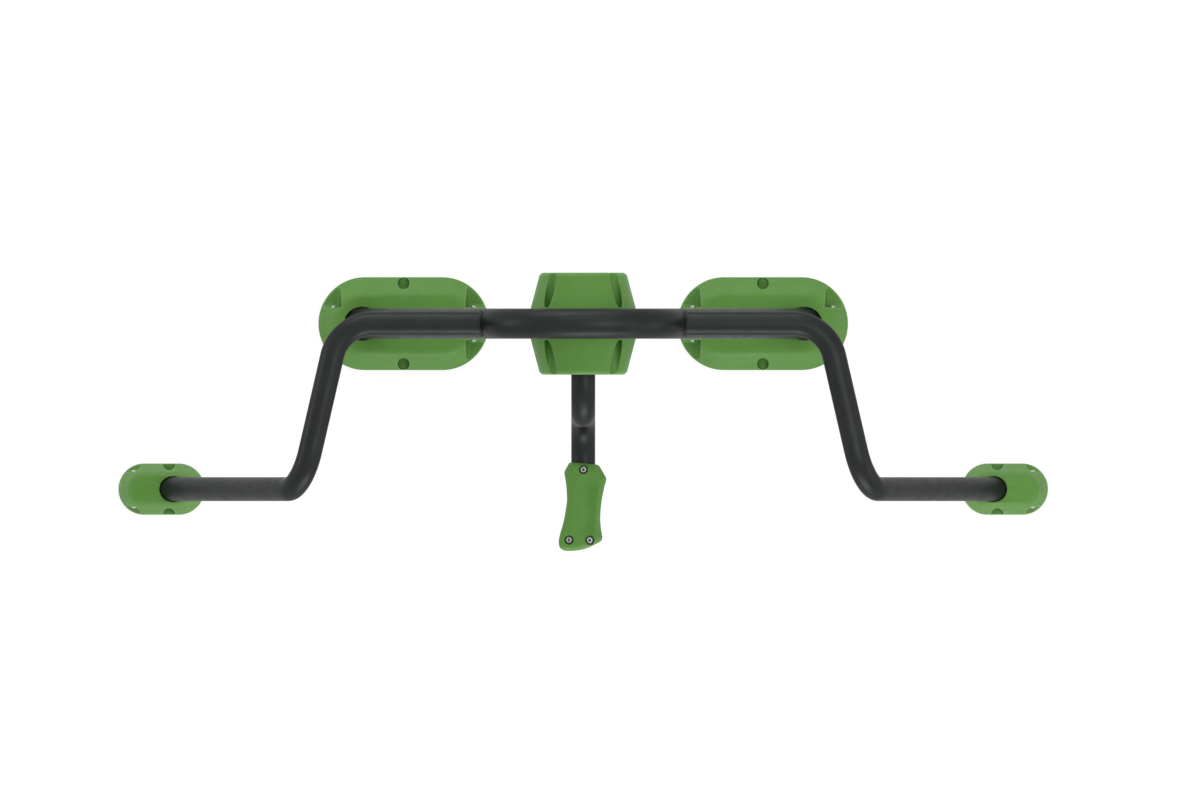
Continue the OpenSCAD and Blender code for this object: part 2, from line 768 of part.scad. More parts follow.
module at_rail_bolts(front) {
    for (side = [-1, 1])
        translate([side * (rail_foot_x + rail_bolt_x), rail_front_y, cross_bolt_z])
            rotate([front ? 90 : -90, 0, 0]) translate([0, 0, rail_notch_y]) children();
}

module arch_cover_bolts() {
    color([0.75, 0.76, 0.77]) at_arch_bolts(true)
        button_screw(screw_r, screw_head_r, screw_head_h, screw_len_share * arch_notch_y);
}

module arch_cover_sleeve_nuts() {
    color([0.75, 0.76, 0.77]) at_arch_bolts(false)
        sleeve_nut(screw_r, screw_head_r, screw_head_h, arch_notch_y);
}

module rail_cover_bolts() {
    color([0.75, 0.76, 0.77]) at_rail_bolts(true)
        button_screw(screw_r, screw_head_r, screw_head_h, screw_len_share * rail_notch_y);
}

module rail_cover_sleeve_nuts() {
    color([0.75, 0.76, 0.77]) at_rail_bolts(false)
        sleeve_nut(screw_r, screw_head_r, screw_head_h, rail_notch_y);
}

// Tube along the swing axis between two distances ahead of the arch plane
module sleeve(start, end, inner_r, outer_r) {
    translate([0, 0, start]) difference() {
        cylinder(h = end - start, r = outer_r);
        translate([0, 0, -overrun]) cylinder(h = end - start + 2 * overrun, r = inner_r);
    }
}

// The keyway's room, in the shaft and the hub
module key_room(grow) {
    translate([-key_w / 2 - grow, shaft_d / 2 - key_depth - grow, hub_rear - overrun])
        cube([key_w + 2 * grow, key_h + 2 * grow, hub_t + 2 * overrun]);
}

module pivot_shaft() {
    color([0.66, 0.67, 0.68]) on_axis() difference() {
        union() {
            translate([0, 0, -bearing_face]) cylinder(h = bearing_face + hub_front, d = shaft_d);
            translate([0, 0, -bearing_face - washer_t - nut_t - thread_spare])
                cylinder(h = bearing_face, r = thread_r);
        }
        key_room(fit_gap);
    }
}

module shaft_key() {
    color([0.66, 0.67, 0.68]) on_axis() translate([-key_w / 2, shaft_d / 2 - key_depth, hub_rear])
        cube([key_w, key_h, hub_t]);
}

module bearing_spacer() {
    reach = bearing_face - bearing_w;
    color([0.55, 0.56, 0.57]) on_axis()
        sleeve(-reach, reach, shaft_d / 2 + fit_gap, shaft_d / 2 + spacer_wall);
}

module hub_spacer() {
    color([0.55, 0.56, 0.57]) on_axis()
        sleeve(bearing_face, hub_rear, shaft_d / 2 + fit_gap, shaft_d / 2 + spacer_wall);
}

module shaft_washer() {
    color([0.75, 0.76, 0.77]) on_axis()
        sleeve(-bearing_face - washer_t, -bearing_face, thread_r + slip, washer_r);
}

module shaft_nut() {
    color([0.75, 0.76, 0.77]) on_axis() translate([0, 0, -bearing_face - washer_t - nut_t]) difference() {
        cylinder(h = nut_t, r = nut_flats / 2 / cos(30), $fn = 6);
        translate([0, 0, -overrun]) cylinder(h = nut_t + 2 * overrun, r = thread_r + slip);
    }
}

module lever_hub() {
    color([0.20, 0.21, 0.22]) on_axis() difference() {
        translate([0, 0, hub_rear]) {
            cylinder(h = hub_t, r = hub_r);
            translate([-lug_w / 2, 0, 0]) cube([lug_w, lug_len, hub_t]);
        }
        translate([0, 0, hub_rear - overrun]) cylinder(h = hub_t + 2 * overrun, r = shaft_d / 2 + fit_gap);
        key_room(fit_gap);
    }
}

// Places of the pad's screws, local Z up from the pad's parting plane
module at_pad_screws() {
    for (share = pad_screw_shares)
        translate([share.x * pad_half_w, -pad_start - share.y * pad_len, pad_z]) children();
}

module lever_tube() {
    color([0.20, 0.21, 0.22]) at_arch() difference() {
        bent_tube(lever_path, [lever_top_r, lever_low_r], lever_d, lever_wall);
        at_pad_screws() cylinder(h = 2 * lever_d, r = pad_sleeve_r + hole_gap, center = true);
    }
}

module lever_end_plug() {
    color([0.08, 0.08, 0.08]) at_arch() translate([0, -lever_end, pad_z]) rotate([90, 0, 0]) {
        cylinder(h = plug_t, d = lever_d);
        translate([0, 0, -plug_insert]) cylinder(h = plug_insert, r = lever_d / 2 - lever_wall - slip);
    }
}

function middle_of(ring) = [for (p = ring) 1] * ring / len(ring);

// Solid between rings of points, each ring above the last, whose ends fan out from their middle
module loft(rings) {
    n = len(rings[0]);
    top = len(rings) - 1;
    foot = (top + 1) * n;
    polyhedron(
        points = concat([for (ring = rings) each ring], [middle_of(rings[0]), middle_of(rings[top])]),
        faces = concat([for (i = [0 : n - 1]) [foot, i, (i + 1) % n]],
            [for (k = [0 : top - 1], i = [0 : n - 1])
                [k * n + i, (k + 1) * n + i, (k + 1) * n + (i + 1) % n, k * n + (i + 1) % n]],
            [for (i = [0 : n - 1]) [foot + 1, top * n + (i + 1) % n, top * n + i]]));
}

pad_outline = smooth_loop([for (share = pad_outline_shares)
    [share.x * pad_half_w, -pad_start - share.y * pad_len]], pad_curve_steps);
pad_middle_y = -pad_start - pad_len / 2;
function pad_ring(inset, z) = [for (p = pad_outline)
    [p.x * (1 - inset / pad_half_w), pad_middle_y + (p.y - pad_middle_y) * (1 - 2 * inset / pad_len), z]];

// Upper half of the pad's outer form, or the room inside its wall
module pad_form(wall, low) {
    edge = pad_edge_r - wall / 2;
    high = pad_h / 2 - wall - edge;
    loft(concat([pad_ring(wall, low)], [for (i = [0 : round_steps])
        pad_ring(wall + edge * (1 - cos(90 * i / round_steps)), high + edge * sin(90 * i / round_steps))]));
}

module channel() {
    channel_r = (channel_w * channel_w / 4 + channel_depth * channel_depth) / channel_depth / 2;
    rod([0, -pad_start + pad_len / 2, pad_h / 2 + channel_r - channel_depth],
        [0, -pad_front - pad_len / 2, pad_h / 2 + channel_r - channel_depth], channel_r);
}

module pad_shell(bore_r) {
    tube_room = lever_d / 2 + slip;
    difference() {
        pad_form(0, 0);
        difference() {
            pad_form(cover_wall, -hair);
            for (share = pad_rib_shares) translate([-pad_half_w, -pad_start - share * pad_len, 0])
                cube([2 * pad_half_w, rib_t, pad_h]);
            for (share = pad_screw_shares)
                translate([share.x * pad_half_w, -pad_start - share.y * pad_len, 0])
                    cylinder(h = pad_h, r = recess_r + cover_wall);
        }
        rod([0, -pad_start + pad_len / 2, 0], [0, -lever_end - plug_t - slip, 0], tube_room);
        for (share = pad_screw_shares)
            translate([share.x * pad_half_w, -pad_start - share.y * pad_len, 0]) {
                translate([0, 0, recess_floor]) cylinder(h = pad_h, r = recess_r);
                translate([0, 0, -overrun]) cylinder(h = pad_h, r = bore_r);
            }
        channel();
    }
}

module pad_upper_shell() {
    color([0.38, 0.58, 0.24]) at_arch() translate([0, 0, pad_z]) pad_shell(pad_screw_r + hole_gap);
}

module pad_lower_shell() {
    color([0.38, 0.58, 0.24]) at_arch() translate([0, 0, pad_z]) mirror([0, 0, 1])
        pad_shell(pad_sleeve_r + hole_gap);
}

module pad_screws() {
    color([0.80, 0.81, 0.82]) at_arch() at_pad_screws() translate([0, 0, recess_floor])
        button_screw(pad_screw_r, pad_head_r, pad_head_h, screw_len_share * recess_floor);
}

module pad_sleeve_nuts() {
    color([0.80, 0.81, 0.82]) at_arch() at_pad_screws() mirror([0, 0, 1])
        translate([0, 0, recess_floor]) sleeve_nut(pad_screw_r, pad_head_r, pad_head_h, recess_floor);
}

arch_tube();
handrail(-1);  // handrail_left
handrail(1);  // handrail_right
cross_tube(-1);  // cross_tube_left
cross_tube(1);  // cross_tube_right
bearing_housing();
drum_mount_plates();
stop_bracket();
stop_buffers();
bearing_outer_rings();
bearing_balls();
bearing_circlips();
drum_front_shell();
drum_rear_shell();
drum_screws();
drum_sleeve_nuts();
arch_plate(-1);  // arch_plate_left
arch_plate(1);  // arch_plate_right
rail_plate(-1);  // rail_plate_left
rail_plate(1);  // rail_plate_right
arch_cover(-1, true);  // arch_cover_left_front
arch_cover(-1, false);  // arch_cover_left_rear
arch_cover(1, true);  // arch_cover_right_front
arch_cover(1, false);  // arch_cover_right_rear
rail_cover(-1, true);  // rail_cover_left_front
rail_cover(-1, false);  // rail_cover_left_rear
rail_cover(1, true);  // rail_cover_right_front
rail_cover(1, false);  // rail_cover_right_rear
arch_cover_bolts();
arch_cover_sleeve_nuts();
rail_cover_bolts();
rail_cover_sleeve_nuts();
pivot_shaft();
shaft_key();
bearing_inner_rings();
bearing_spacer();
hub_spacer();
shaft_washer();
shaft_nut();
lever_hub();
lever_tube();
lever_end_plug();
pad_upper_shell();
pad_lower_shell();
pad_screws();
pad_sleeve_nuts();
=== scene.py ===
# Outdoor glute trainer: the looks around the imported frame, all in metres and in the frame's own axes.
from functools import partial
import math

import bpy
import numpy as np
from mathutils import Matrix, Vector


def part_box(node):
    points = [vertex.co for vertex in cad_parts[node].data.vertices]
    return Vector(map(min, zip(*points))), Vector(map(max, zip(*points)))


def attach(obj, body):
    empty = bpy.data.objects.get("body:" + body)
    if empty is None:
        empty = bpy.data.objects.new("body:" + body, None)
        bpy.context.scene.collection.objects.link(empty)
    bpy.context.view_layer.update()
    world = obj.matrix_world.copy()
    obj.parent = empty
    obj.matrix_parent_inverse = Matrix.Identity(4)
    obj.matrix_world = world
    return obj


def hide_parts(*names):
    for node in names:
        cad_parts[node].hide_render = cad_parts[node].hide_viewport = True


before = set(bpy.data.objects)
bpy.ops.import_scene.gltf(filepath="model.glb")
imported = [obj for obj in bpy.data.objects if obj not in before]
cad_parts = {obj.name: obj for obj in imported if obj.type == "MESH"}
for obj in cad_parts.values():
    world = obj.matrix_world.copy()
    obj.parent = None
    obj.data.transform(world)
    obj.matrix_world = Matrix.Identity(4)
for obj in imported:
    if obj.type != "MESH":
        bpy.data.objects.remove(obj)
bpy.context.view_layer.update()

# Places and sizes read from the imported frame
DRUM_LOW, DRUM_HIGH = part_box("drum_front_shell")
HOUSING_LOW, HOUSING_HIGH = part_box("bearing_housing")
HUB_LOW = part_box("lever_hub")[0]
PAD_LOW, PAD_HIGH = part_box("pad_upper_shell")
PLUG_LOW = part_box("lever_end_plug")[0]
ARCH_COVER_LOW, ARCH_COVER_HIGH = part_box("arch_cover_right_front")
RAIL_COVER_LOW, RAIL_COVER_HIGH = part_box("rail_cover_right_front")
PLATE_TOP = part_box("arch_plate_right")[1].z
ARCH_Y = DRUM_HIGH.y
PIVOT_Z = (DRUM_LOW.z + DRUM_HIGH.z) / 2
RAIL_Y = RAIL_COVER_HIGH.y
HOUSING_R = (HOUSING_HIGH.z - HOUSING_LOW.z) / 2

SIDES = ((-1, "left"), (1, "right"))

# Edges that turn by more than this stay sharp, on lofted pieces and on welds
SHARP_DEGREES = 35
WELD_SHARP_DEGREES = 60

# Tubes
LEAN = math.radians(70)
ARCH_R = 0.0761 / 2
ARCH_BEND_R = 0.228
RAIL_R = 0.0603 / 2
RAIL_RISE = 0.034
RAIL_BEND_R = 0.105
RAIL_CORNER_X = 0.611
RAIL_SPLAY = 0.0955
CROSS_R = 0.0603 / 2
LEVER_R = 0.0603 / 2
LEVER_OUT = 0.230
LEVER_TOP_R = 0.084
LEVER_LOW_R = 0.105
LEVER_END_INSET = 0.005
TUBE_SIDES = 96
TUBE_TURN = math.radians(2)

# Where the arch's top bend ends, where its legs meet the ground, and where they would cross
ARCH_TANGENT_X = ARCH_BEND_R * math.sin(LEAN)
ARCH_TANGENT_Z = PIVOT_Z + ARCH_BEND_R * math.cos(LEAN)
ARCH_FOOT_X = ARCH_TANGENT_X + ARCH_TANGENT_Z / math.tan(LEAN)
ARCH_APEX_Z = ARCH_FOOT_X * math.tan(LEAN)

# Welds: bead radius, a ripple's length and height, sides round the bead, steps from point to point
WELD_R = 0.0028
WELD_RIPPLE = 0.0045
WELD_RIPPLE_SHARE = 0.10
WELD_SIDES = 12
WELD_STEPS = 4

# Wall and edges of every moulded shell, half of the seam between two of them
COVER_WALL = 0.0045
INNER_EDGE_R = 0.0005
SEAM = 0.00004

# Covers: an upright lip below the leaning flank, notches for the bolts, pockets, a hole for the leg
COVER_LIP = 0.014
COVER_LIP_R = 0.004
COVER_FOOT_R = 0.001
LEDGE_GAP = 0.0015
POCKET_R = 0.0145
POCKET_FLOOR = PLATE_TOP + COVER_WALL
POCKET_FILLET = 0.002
POCKET_RIM_R = 0.0012
NOTCH_FLOOR = PLATE_TOP + LEDGE_GAP + COVER_WALL
NOTCH_SLOPE = 0.006
NOTCH_FILLET = 0.012
NOTCH_RIM_R = 0.002
HOLE_RIM_R = 0.0015
BOLT_Z = 0.040

# The two kinds of cover: place, size, how far the flank leans, radius of the top edge, and then from the
# cover's centre its notches, pockets, leg hole and bolts
ARCH_COVER = {
    "x": (ARCH_COVER_HIGH.x + ARCH_COVER_LOW.x) / 2,
    "y": ARCH_Y,
    "length": ARCH_COVER_HIGH.x - ARCH_COVER_LOW.x,
    "half_w": ARCH_COVER_HIGH.y - ARCH_COVER_LOW.y,
    "height": ARCH_COVER_HIGH.z,
    "flank": 0.040,
    "round": 0.026,
    "both_ends": True,
    "notch_x": 0.154,
    "notch_y": 0.0405,
    "notch_round": 0.004,
    "pocket_x": 0,
    "pocket_y": 0.1005,
    "leg_x": ARCH_FOOT_X - (ARCH_COVER_HIGH.x + ARCH_COVER_LOW.x) / 2,
    "leg_r": ARCH_R,
    "leg_gap": 0.0035,
    "bolt_x": 0.175,
}
RAIL_COVER = {
    "x": (RAIL_COVER_HIGH.x + RAIL_COVER_LOW.x) / 2,
    "y": RAIL_Y,
    "length": RAIL_COVER_HIGH.x - RAIL_COVER_LOW.x,
    "half_w": RAIL_COVER_HIGH.y - RAIL_COVER_LOW.y,
    "height": RAIL_COVER_HIGH.z,
    "flank": 0.025,
    "round": 0.017,
    "both_ends": False,
    "notch_x": 0.0425,
    "notch_y": 0.043,
    "notch_round": 0.031,
    "pocket_x": -0.019,
    "pocket_y": 0.062,
    "leg_x": 0,
    "leg_r": RAIL_R,
    "leg_gap": 0.0018,
    "bolt_x": 0.069,
}

# Drum: a cone frustum on each side of the arch's plane, with four grooves for its bolts
DRUM_R = (DRUM_HIGH.z - DRUM_LOW.z) / 2
DRUM_DEPTH = DRUM_HIGH.y - DRUM_LOW.y
DRUM_DRAFT = math.radians(14.8)
DRUM_EDGE_R = 0.013
DRUM_WALL = 0.005
GROOVE_R = 0.015
GROOVE_PLACE_R = 0.116
GROOVE_PLACE = GROOVE_PLACE_R * math.sqrt(0.5)
GROOVE_END = 0.040
GROOVE_FILLET = 0.003
GROOVE_RIM_R = 0.0022
BOSS_EDGE_R = 0.001
MOUNT_T = 0.006
CROSS_GAP = 0.0015
CROSS_RIM_R = 0.0012
LEVER_GAP = 0.003
LEVER_RIM_R = 0.0018

# Pad
PAD_START = ARCH_Y - PAD_HIGH.y
PAD_LEN = PAD_HIGH.y - PAD_LOW.y
PAD_Z = PAD_LOW.z
PAD_HALF_W = -PAD_LOW.x
PAD_HALF_H = PAD_HIGH.z - PAD_Z
PAD_EDGE_R = 0.014

# Corners of its outline and its screws, in shares of its half width and of its length from the rear
# edge. A corner's last number is how far its rounding reaches, up to half of each side
PAD_OUTLINE = [(-0.56, 0.00, 0.006), (-0.79, 0.112, 0.007), (-0.715, 0.22, 1), (-0.664, 0.37, 1),
    (-0.668, 0.45, 1), (-0.725, 0.546, 1), (-0.815, 0.683, 1), (-0.95, 0.80, 1), (-1.02, 0.89, 1),
    (-0.985, 0.962, 1), (-0.79, 0.999, 1), (-0.507, 1.000, 1), (-0.182, 0.993, 1), (0.167, 0.969, 1),
    (0.521, 0.924, 1), (0.785, 0.88, 0.007), (0.79, 0.83, 0.010), (0.726, 0.75, 1), (0.695, 0.66, 1),
    (0.707, 0.562, 1), (0.745, 0.46, 1), (0.80, 0.37, 1), (0.875, 0.273, 1), (0.972, 0.188, 0.006),
    (0.64, 0.030, 0.006)]
PAD_SCREWS = [(0.003, 0.084), (-0.588, 0.875), (0.266, 0.878)]
PAD_CORNER_STEPS = 8

# Valley along its top: depth, where its line starts and how far it drifts, the run of each slope,
# the share of the length over which it fades in and out, and the radii of its bed and its crests
VALLEY_DEPTH = 0.0115
VALLEY_X = 0.013
VALLEY_DRIFT = 0.005
VALLEY_LEFT = -0.032
VALLEY_RIGHT = 0.026
VALLEY_FADE_SHARE = 0.30
VALLEY_BED_R = 0.035
VALLEY_CREST_R = 0.020

# Recesses for its screws, and the bore that ends behind the lever's plug
RECESS_R = 0.012
RECESS_FLOOR = 0.0365
RECESS_FILLET = 0.0015
RECESS_RIM_R = 0.0012
PLUG_SLIP = 0.0005
BORE_PLAY = 0.0004
BORE_EDGE_R = 0.001

# Fasteners: head radius, head height, shank radius
SLEEVE_WALL = 0.0015
SCREW = (0.007, 0.0044, 0.004)
SLEEVE = (*SCREW[:2], SCREW[2] + SLEEVE_WALL)
PAD_SCREW = (0.0088, 0.0055, 0.005)
PAD_SLEEVE = (*PAD_SCREW[:2], PAD_SCREW[2] + SLEEVE_WALL)

# A screw's length as a share of the way from its head to the middle, a shank's start below its head,
# and the turn from one screw of a group to the next
SCREW_SHARE = 1.5
SHANK_DIP = 0.0002
HEAD_SPIN = 2.4
HEAD_SIDES = 48
HEX_SIDES = 6

# A head's profile in shares of its radius and height, the socket's in shares of the socket's radius,
# each ring with how much dirt and painted shade darken it, most deep in the socket and at the seat's edge.
# The dome between them is a quarter of an ellipse
RIM_RINGS = [(0.93, 0, 0.5), (1, 0.06, 0.4), (1, 0.16, 0.2)]
DOME_STEPS = 8
DOME_SHARE = 0.38
DOME_FOOT_SHARE = 0.16
SOCKET_SHARE = 0.47
SOCKET_RINGS = [("round", 1.16, 1, 0), ("round", 1.08, 0.985, 0.1), ("hex", 1, 0.90, 0.6),
    ("hex", 1, 0.40, 1), ("round", 0.5, 0.36, 1), ("round", 0.08, 0.26, 1)]

# Grid of each moulded shell, and the steps that it has round the shell's box
COVER_STEP = 0.0018
DRUM_STEP = 0.0018
PAD_STEP = 0.0013
GRID_MARGIN = 1.5

# Thinning: the share of faces that is left, and which points count as flat
KEEP_SHARE = 0.36
FLAT_PROBE = 0.0021
FLAT_BEND = 0.12

# Slope of a field: the step that it is felt over, and the least that a normal is made from
PROBE = 0.0001
LEAST_NORM = 1e-6

# Moving points onto a surface: least squared slope that is trusted, longest move, rounds of it, and in
# grid steps how near to the parting edge a point belongs to that edge
LEAST_SLOPE = 0.2
PUSH_LIMIT = 0.001
SKIN_ROUNDS = 2
EDGE_ROUNDS = 3
EDGE_REACH = 0.7

# Bend: how far round a point it is felt, and its scale
EDGE_PROBE = 0.0012
EDGE_SCALE = 0.003

# Camera: straight down on the photograph's frame
CAMERA_X = 0.0421
CAMERA_Y = 0.0297
CAMERA_Z = 4.0
CAMERA_CLIP = 20.0
VIEW_WIDTH = 3.0096

# Floor: how pale it is in itself and as it is seen, and how much it glows as it is seen
FLOOR_HALF = 15.0
FLOOR_Z = -0.0003
FLOOR = 0.80
FLOOR_SEEN = 0.22
FLOOR_GLOW = 0.84

# World light. Softboxes: place, what they face, width, height, power
SKY_LIGHT = 0.59
LAMPS = {
    "rear_box": ((-0.6, 4.2, 1.5), (0, 0.2, 0.5), 3.6, 1.8, 58),
    "right_box": ((4.4, -0.6, 1.5), (0, 0, 0.5), 2.6, 1.6, 18),
    "front_box": ((0.4, -4.2, 1.4), (0, 0, 0.5), 3.2, 1.6, 83),
    "left_box": ((-4.4, 0.6, 1.4), (0, 0, 0.5), 2.4, 1.2, 21),
    "rear_high_box": ((0.2, 2.8, 3.8), (0, 0, 0.4), 2.8, 1.8, 17),
    "right_high_box": ((1.7, 0.1, 4.3), (0, 0, 0.4), 1.8, 2.6, 30),
}

# Colours
GREEN = (0.074, 0.226, 0.020)
COAT = (0.0245, 0.0262, 0.0270)
STEEL = (0.44, 0.44, 0.44)
ZINC = (0.45, 0.46, 0.47)
BRIGHT = (0.66, 0.65, 0.63)
RUBBER = (0.012, 0.012, 0.013)
WORN_GREEN = (0.20, 0.36, 0.14)
# Dark green of grime and painted shade, for hollows and creases
GRIME_AND_SHADE_GREEN = (0.030, 0.075, 0.016)

# CAD nodes that stay, by the material that they get
KEPT = {
    "zinc_steel": ["bearing_housing", "drum_mount_plates", "stop_bracket", "arch_plate_left",
        "arch_plate_right", "rail_plate_left", "rail_plate_right"],
    "bearing_steel": ["bearing_outer_rings", "bearing_balls", "bearing_circlips", "bearing_inner_rings",
        "pivot_shaft", "shaft_key", "bearing_spacer", "hub_spacer", "shaft_washer", "shaft_nut"],
    "powder_coat": ["lever_hub"],
    "black_rubber": ["stop_buffers"],
    "black_plastic": ["lever_end_plug"],
}


# Fields: how far each point of an array is from a surface, negative inside

def both(a, b, cosine, r):
    """Room inside both a and b, with the edge between them rounded to radius r.

    cosine is that of the angle between the outward normals of a and b.
    """
    a, b = a + r, b + r
    arc = np.sqrt(np.maximum(a * a + b * b - 2 * cosine * a * b, 0) / (1 - cosine * cosine))
    return np.where((a > cosine * b) & (b > cosine * a), arc, np.maximum(a, b)) - r


def without(body, room, r):
    return both(body, -room, 0, r)


def cover_form(x, y, z, cover):
    """Outer form of a ground cover about its own centre, whose underside is open."""
    run = cover["length"] / 2 - cover["half_w"]
    side = np.hypot(np.maximum(np.abs(x) - run, 0), y) - cover["half_w"]
    rise, flank = cover["height"] - COVER_LIP, cover["flank"]
    slope = math.hypot(rise, flank)
    face = (side * rise + (z - COVER_LIP) * flank) / slope
    crown = both(face, z - cover["height"], flank / slope, cover["round"])
    return both(crown, side, rise / slope, COVER_LIP_R)


def notch_room(x, y, z, cover):
    along = np.abs(x) if cover["both_ends"] else x
    rise = cover["height"] - NOTCH_FLOOR
    slope = math.hypot(rise, NOTCH_SLOPE)
    wall = -((along - cover["notch_x"]) * rise + (z - cover["height"]) * NOTCH_SLOPE) / slope
    plan = both(wall, cover["notch_y"] - np.abs(y), 0, cover["notch_round"])
    return both(plan, NOTCH_FLOOR - z, NOTCH_SLOPE / slope, NOTCH_FILLET)


def pocket_room(x, y, z, cover):
    plan = np.hypot(x - cover["pocket_x"], np.abs(y) - cover["pocket_y"]) - POCKET_R
    return both(plan, POCKET_FLOOR - z, 0, POCKET_FILLET)


def cover_skin(x, y, z, cover):
    """Ground cover on the +X side, as a shell about the cover's own centre."""
    form = cover_form(x, y, z, cover)
    notch = notch_room(x, y, z, cover)
    pocket = pocket_room(x, y, z, cover)
    from_leg = np.hypot(y, (x - cover["leg_x"]) * math.sin(LEAN) + z * math.cos(LEAN)) - cover["leg_r"]
    body = without(without(form, notch, NOTCH_RIM_R), pocket, POCKET_RIM_R)
    body = without(body, from_leg - cover["leg_gap"], HOLE_RIM_R)
    hollow = np.maximum(np.maximum(form + COVER_WALL, COVER_WALL - notch), COVER_WALL - pocket)
    return both(without(body, hollow, INNER_EDGE_R), -z, 0, COVER_FOOT_R)


def drum_section(r, depth, inset):
    mouth = DRUM_R - inset / math.cos(DRUM_DRAFT)
    side = (r - mouth) * math.cos(DRUM_DRAFT) + depth * math.sin(DRUM_DRAFT)
    return both(side, depth - DRUM_DEPTH + inset, math.sin(DRUM_DRAFT), DRUM_EDGE_R - inset)


def drum_skin(x, depth, z, mouth_r):
    """Drum shell about the swing axis; mouth_r is the radius of the lever's hole, or 0."""
    r = np.hypot(x, z)
    from_groove = np.hypot(np.abs(x) - GROOVE_PLACE, np.abs(z) - GROOVE_PLACE)
    groove = both(from_groove - GROOVE_R, GROOVE_END - depth, 0, GROOVE_FILLET)
    boss = both(from_groove - GROOVE_R - DRUM_WALL, MOUNT_T / 2 - depth, 0, BOSS_EDGE_R)
    body = without(drum_section(r, depth, 0), groove, GROOVE_RIM_R)
    hollow = np.maximum(drum_section(r, depth, DRUM_WALL), -boss)
    shell = without(body, hollow, INNER_EDGE_R)
    shell = without(shell, np.hypot(z, depth) - CROSS_R - CROSS_GAP, CROSS_RIM_R)
    return without(shell, r - mouth_r, LEVER_RIM_R) if mouth_r else shell


def rounded_loop(corners, steps):
    """Closed line through corners (x, y, reach), each rounded over its reach or up to half a side."""
    loop = []
    for i, (x, y, reach) in enumerate(corners):
        place = Vector((x, y))
        arms = [Vector(corners[(i + k) % len(corners)][:2]) - place for k in (-1, 1)]
        start, end = (arm * min(0.5, reach / arm.length) for arm in arms)
        for t in (np.arange(steps) + 0.5) / steps:
            loop.append(place + start * (1 - t) ** 2 + end * t ** 2)
    return np.array(loop)


PAD_LOOP = rounded_loop([(x * PAD_HALF_W, -PAD_START - share * PAD_LEN, reach)
    for x, share, reach in PAD_OUTLINE], PAD_CORNER_STEPS)


def pad_plan(x, y):
    """Signed distance from the pad's outline, negative inside."""
    x, y = np.broadcast_arrays(x, y)
    shape, x, y = x.shape, x.ravel(), y.ravel()
    nearest = np.full(x.shape, np.inf)
    inside = np.zeros(x.shape, bool)
    for (ax, ay), (bx, by) in zip(PAD_LOOP, np.roll(PAD_LOOP, -1, axis=0)):
        dx, dy = bx - ax, by - ay
        along = np.clip(((x - ax) * dx + (y - ay) * dy) / (dx * dx + dy * dy), 0, 1)
        nearest = np.minimum(nearest, (x - ax - along * dx) ** 2 + (y - ay - along * dy) ** 2)
        if ay != by:
            inside ^= ((ay > y) != (by > y)) & (x < ax + (y - ay) * dx / dy)
    return np.where(inside, -np.sqrt(nearest), np.sqrt(nearest)).reshape(shape)


def with_valley(form, x, z):
    """The form with a shallow valley whose two slopes meet in the line x = 0, z = -VALLEY_DEPTH."""
    above, cosines = [], []
    for run in (VALLEY_LEFT, VALLEY_RIGHT):
        length = math.hypot(run, VALLEY_DEPTH)
        above.append(((z + VALLEY_DEPTH) * abs(run) - x * math.copysign(VALLEY_DEPTH, run)) / length)
        cosines.append(abs(run) / length)
    turn = math.acos(cosines[0]) + math.acos(cosines[1])
    valley = -both(-above[0], -above[1], math.cos(turn), VALLEY_BED_R)
    return both(form, valley, np.where(x < 0, *cosines), VALLEY_CREST_R)


def pad_skin(x, y, z):
    """Upper half of the pad about the lever's drop, Z from its parting plane."""
    plan = pad_plan(x, y)
    form = both(plan, z - PAD_HALF_H, 0, PAD_EDGE_R)
    share = (-y - PAD_START) / PAD_LEN
    fade = np.clip(np.minimum(share, 1 - share) / VALLEY_FADE_SHARE, 0, 1)
    lift = VALLEY_DEPTH * (1 - fade * fade * (3 - 2 * fade))
    form = with_valley(form, x + VALLEY_DRIFT * share - VALLEY_X, z - PAD_HALF_H - lift)
    body = form
    hollow = form + COVER_WALL
    for sx, sy in PAD_SCREWS:
        away = np.hypot(x - sx * PAD_HALF_W, y + PAD_START + sy * PAD_LEN)
        recess = both(away - RECESS_R, RECESS_FLOOR - z, 0, RECESS_FILLET)
        body = without(body, recess, RECESS_RIM_R)
        hollow = np.maximum(hollow, RECESS_R + COVER_WALL - away)
    shell = without(body, hollow, INNER_EDGE_R)
    bore = both(np.hypot(x, z) - LEVER_R - BORE_PLAY, PLUG_LOW.y - PLUG_SLIP - ARCH_Y - y, 0, BORE_EDGE_R)
    return without(shell, bore, BORE_EDGE_R)


# Meshing of a field

def edges_of(values):
    """Mean point where the field crosses zero on the edges of each grid cell, in cell units."""
    nx, ny, nz = (n - 1 for n in values.shape)
    total = np.zeros((nx, ny, nz, 3), np.float32)
    count = np.zeros((nx, ny, nz), np.float32)
    for axis in range(3):
        others = [a for a in range(3) if a != axis]
        for i in (0, 1):
            for j in (0, 1):
                pick = [slice(0, -1)] * 3
                pick[others[0]] = slice(i, i - 1 or None)
                pick[others[1]] = slice(j, j - 1 or None)
                near = values[tuple(pick)]
                pick[axis] = slice(1, None)
                far = values[tuple(pick)]
                hit = (near < 0) != (far < 0)
                gap = np.where(hit, near - far, 1)
                total[..., axis] += np.where(hit, near / gap, 0)
                total[..., others[0]] += hit * i
                total[..., others[1]] += hit * j
                count += hit
    return total, count


def gradient(field, points, probe):
    slopes = []
    for axis in range(3):
        step = np.zeros(3)
        step[axis] = probe
        slopes.append(field(*(points + step).T) - field(*(points - step).T))
    return np.stack(slopes, axis=1) / (2 * probe)


def onto(field, points, rounds):
    """Points moved along the field's slope until they lie on its surface."""
    for _ in range(rounds):
        slope = gradient(field, points, PROBE)
        push = field(*points.T) / np.maximum((slope ** 2).sum(1), LEAST_SLOPE)
        points = points - np.clip(push, -PUSH_LIMIT, PUSH_LIMIT)[:, None] * slope
    return points


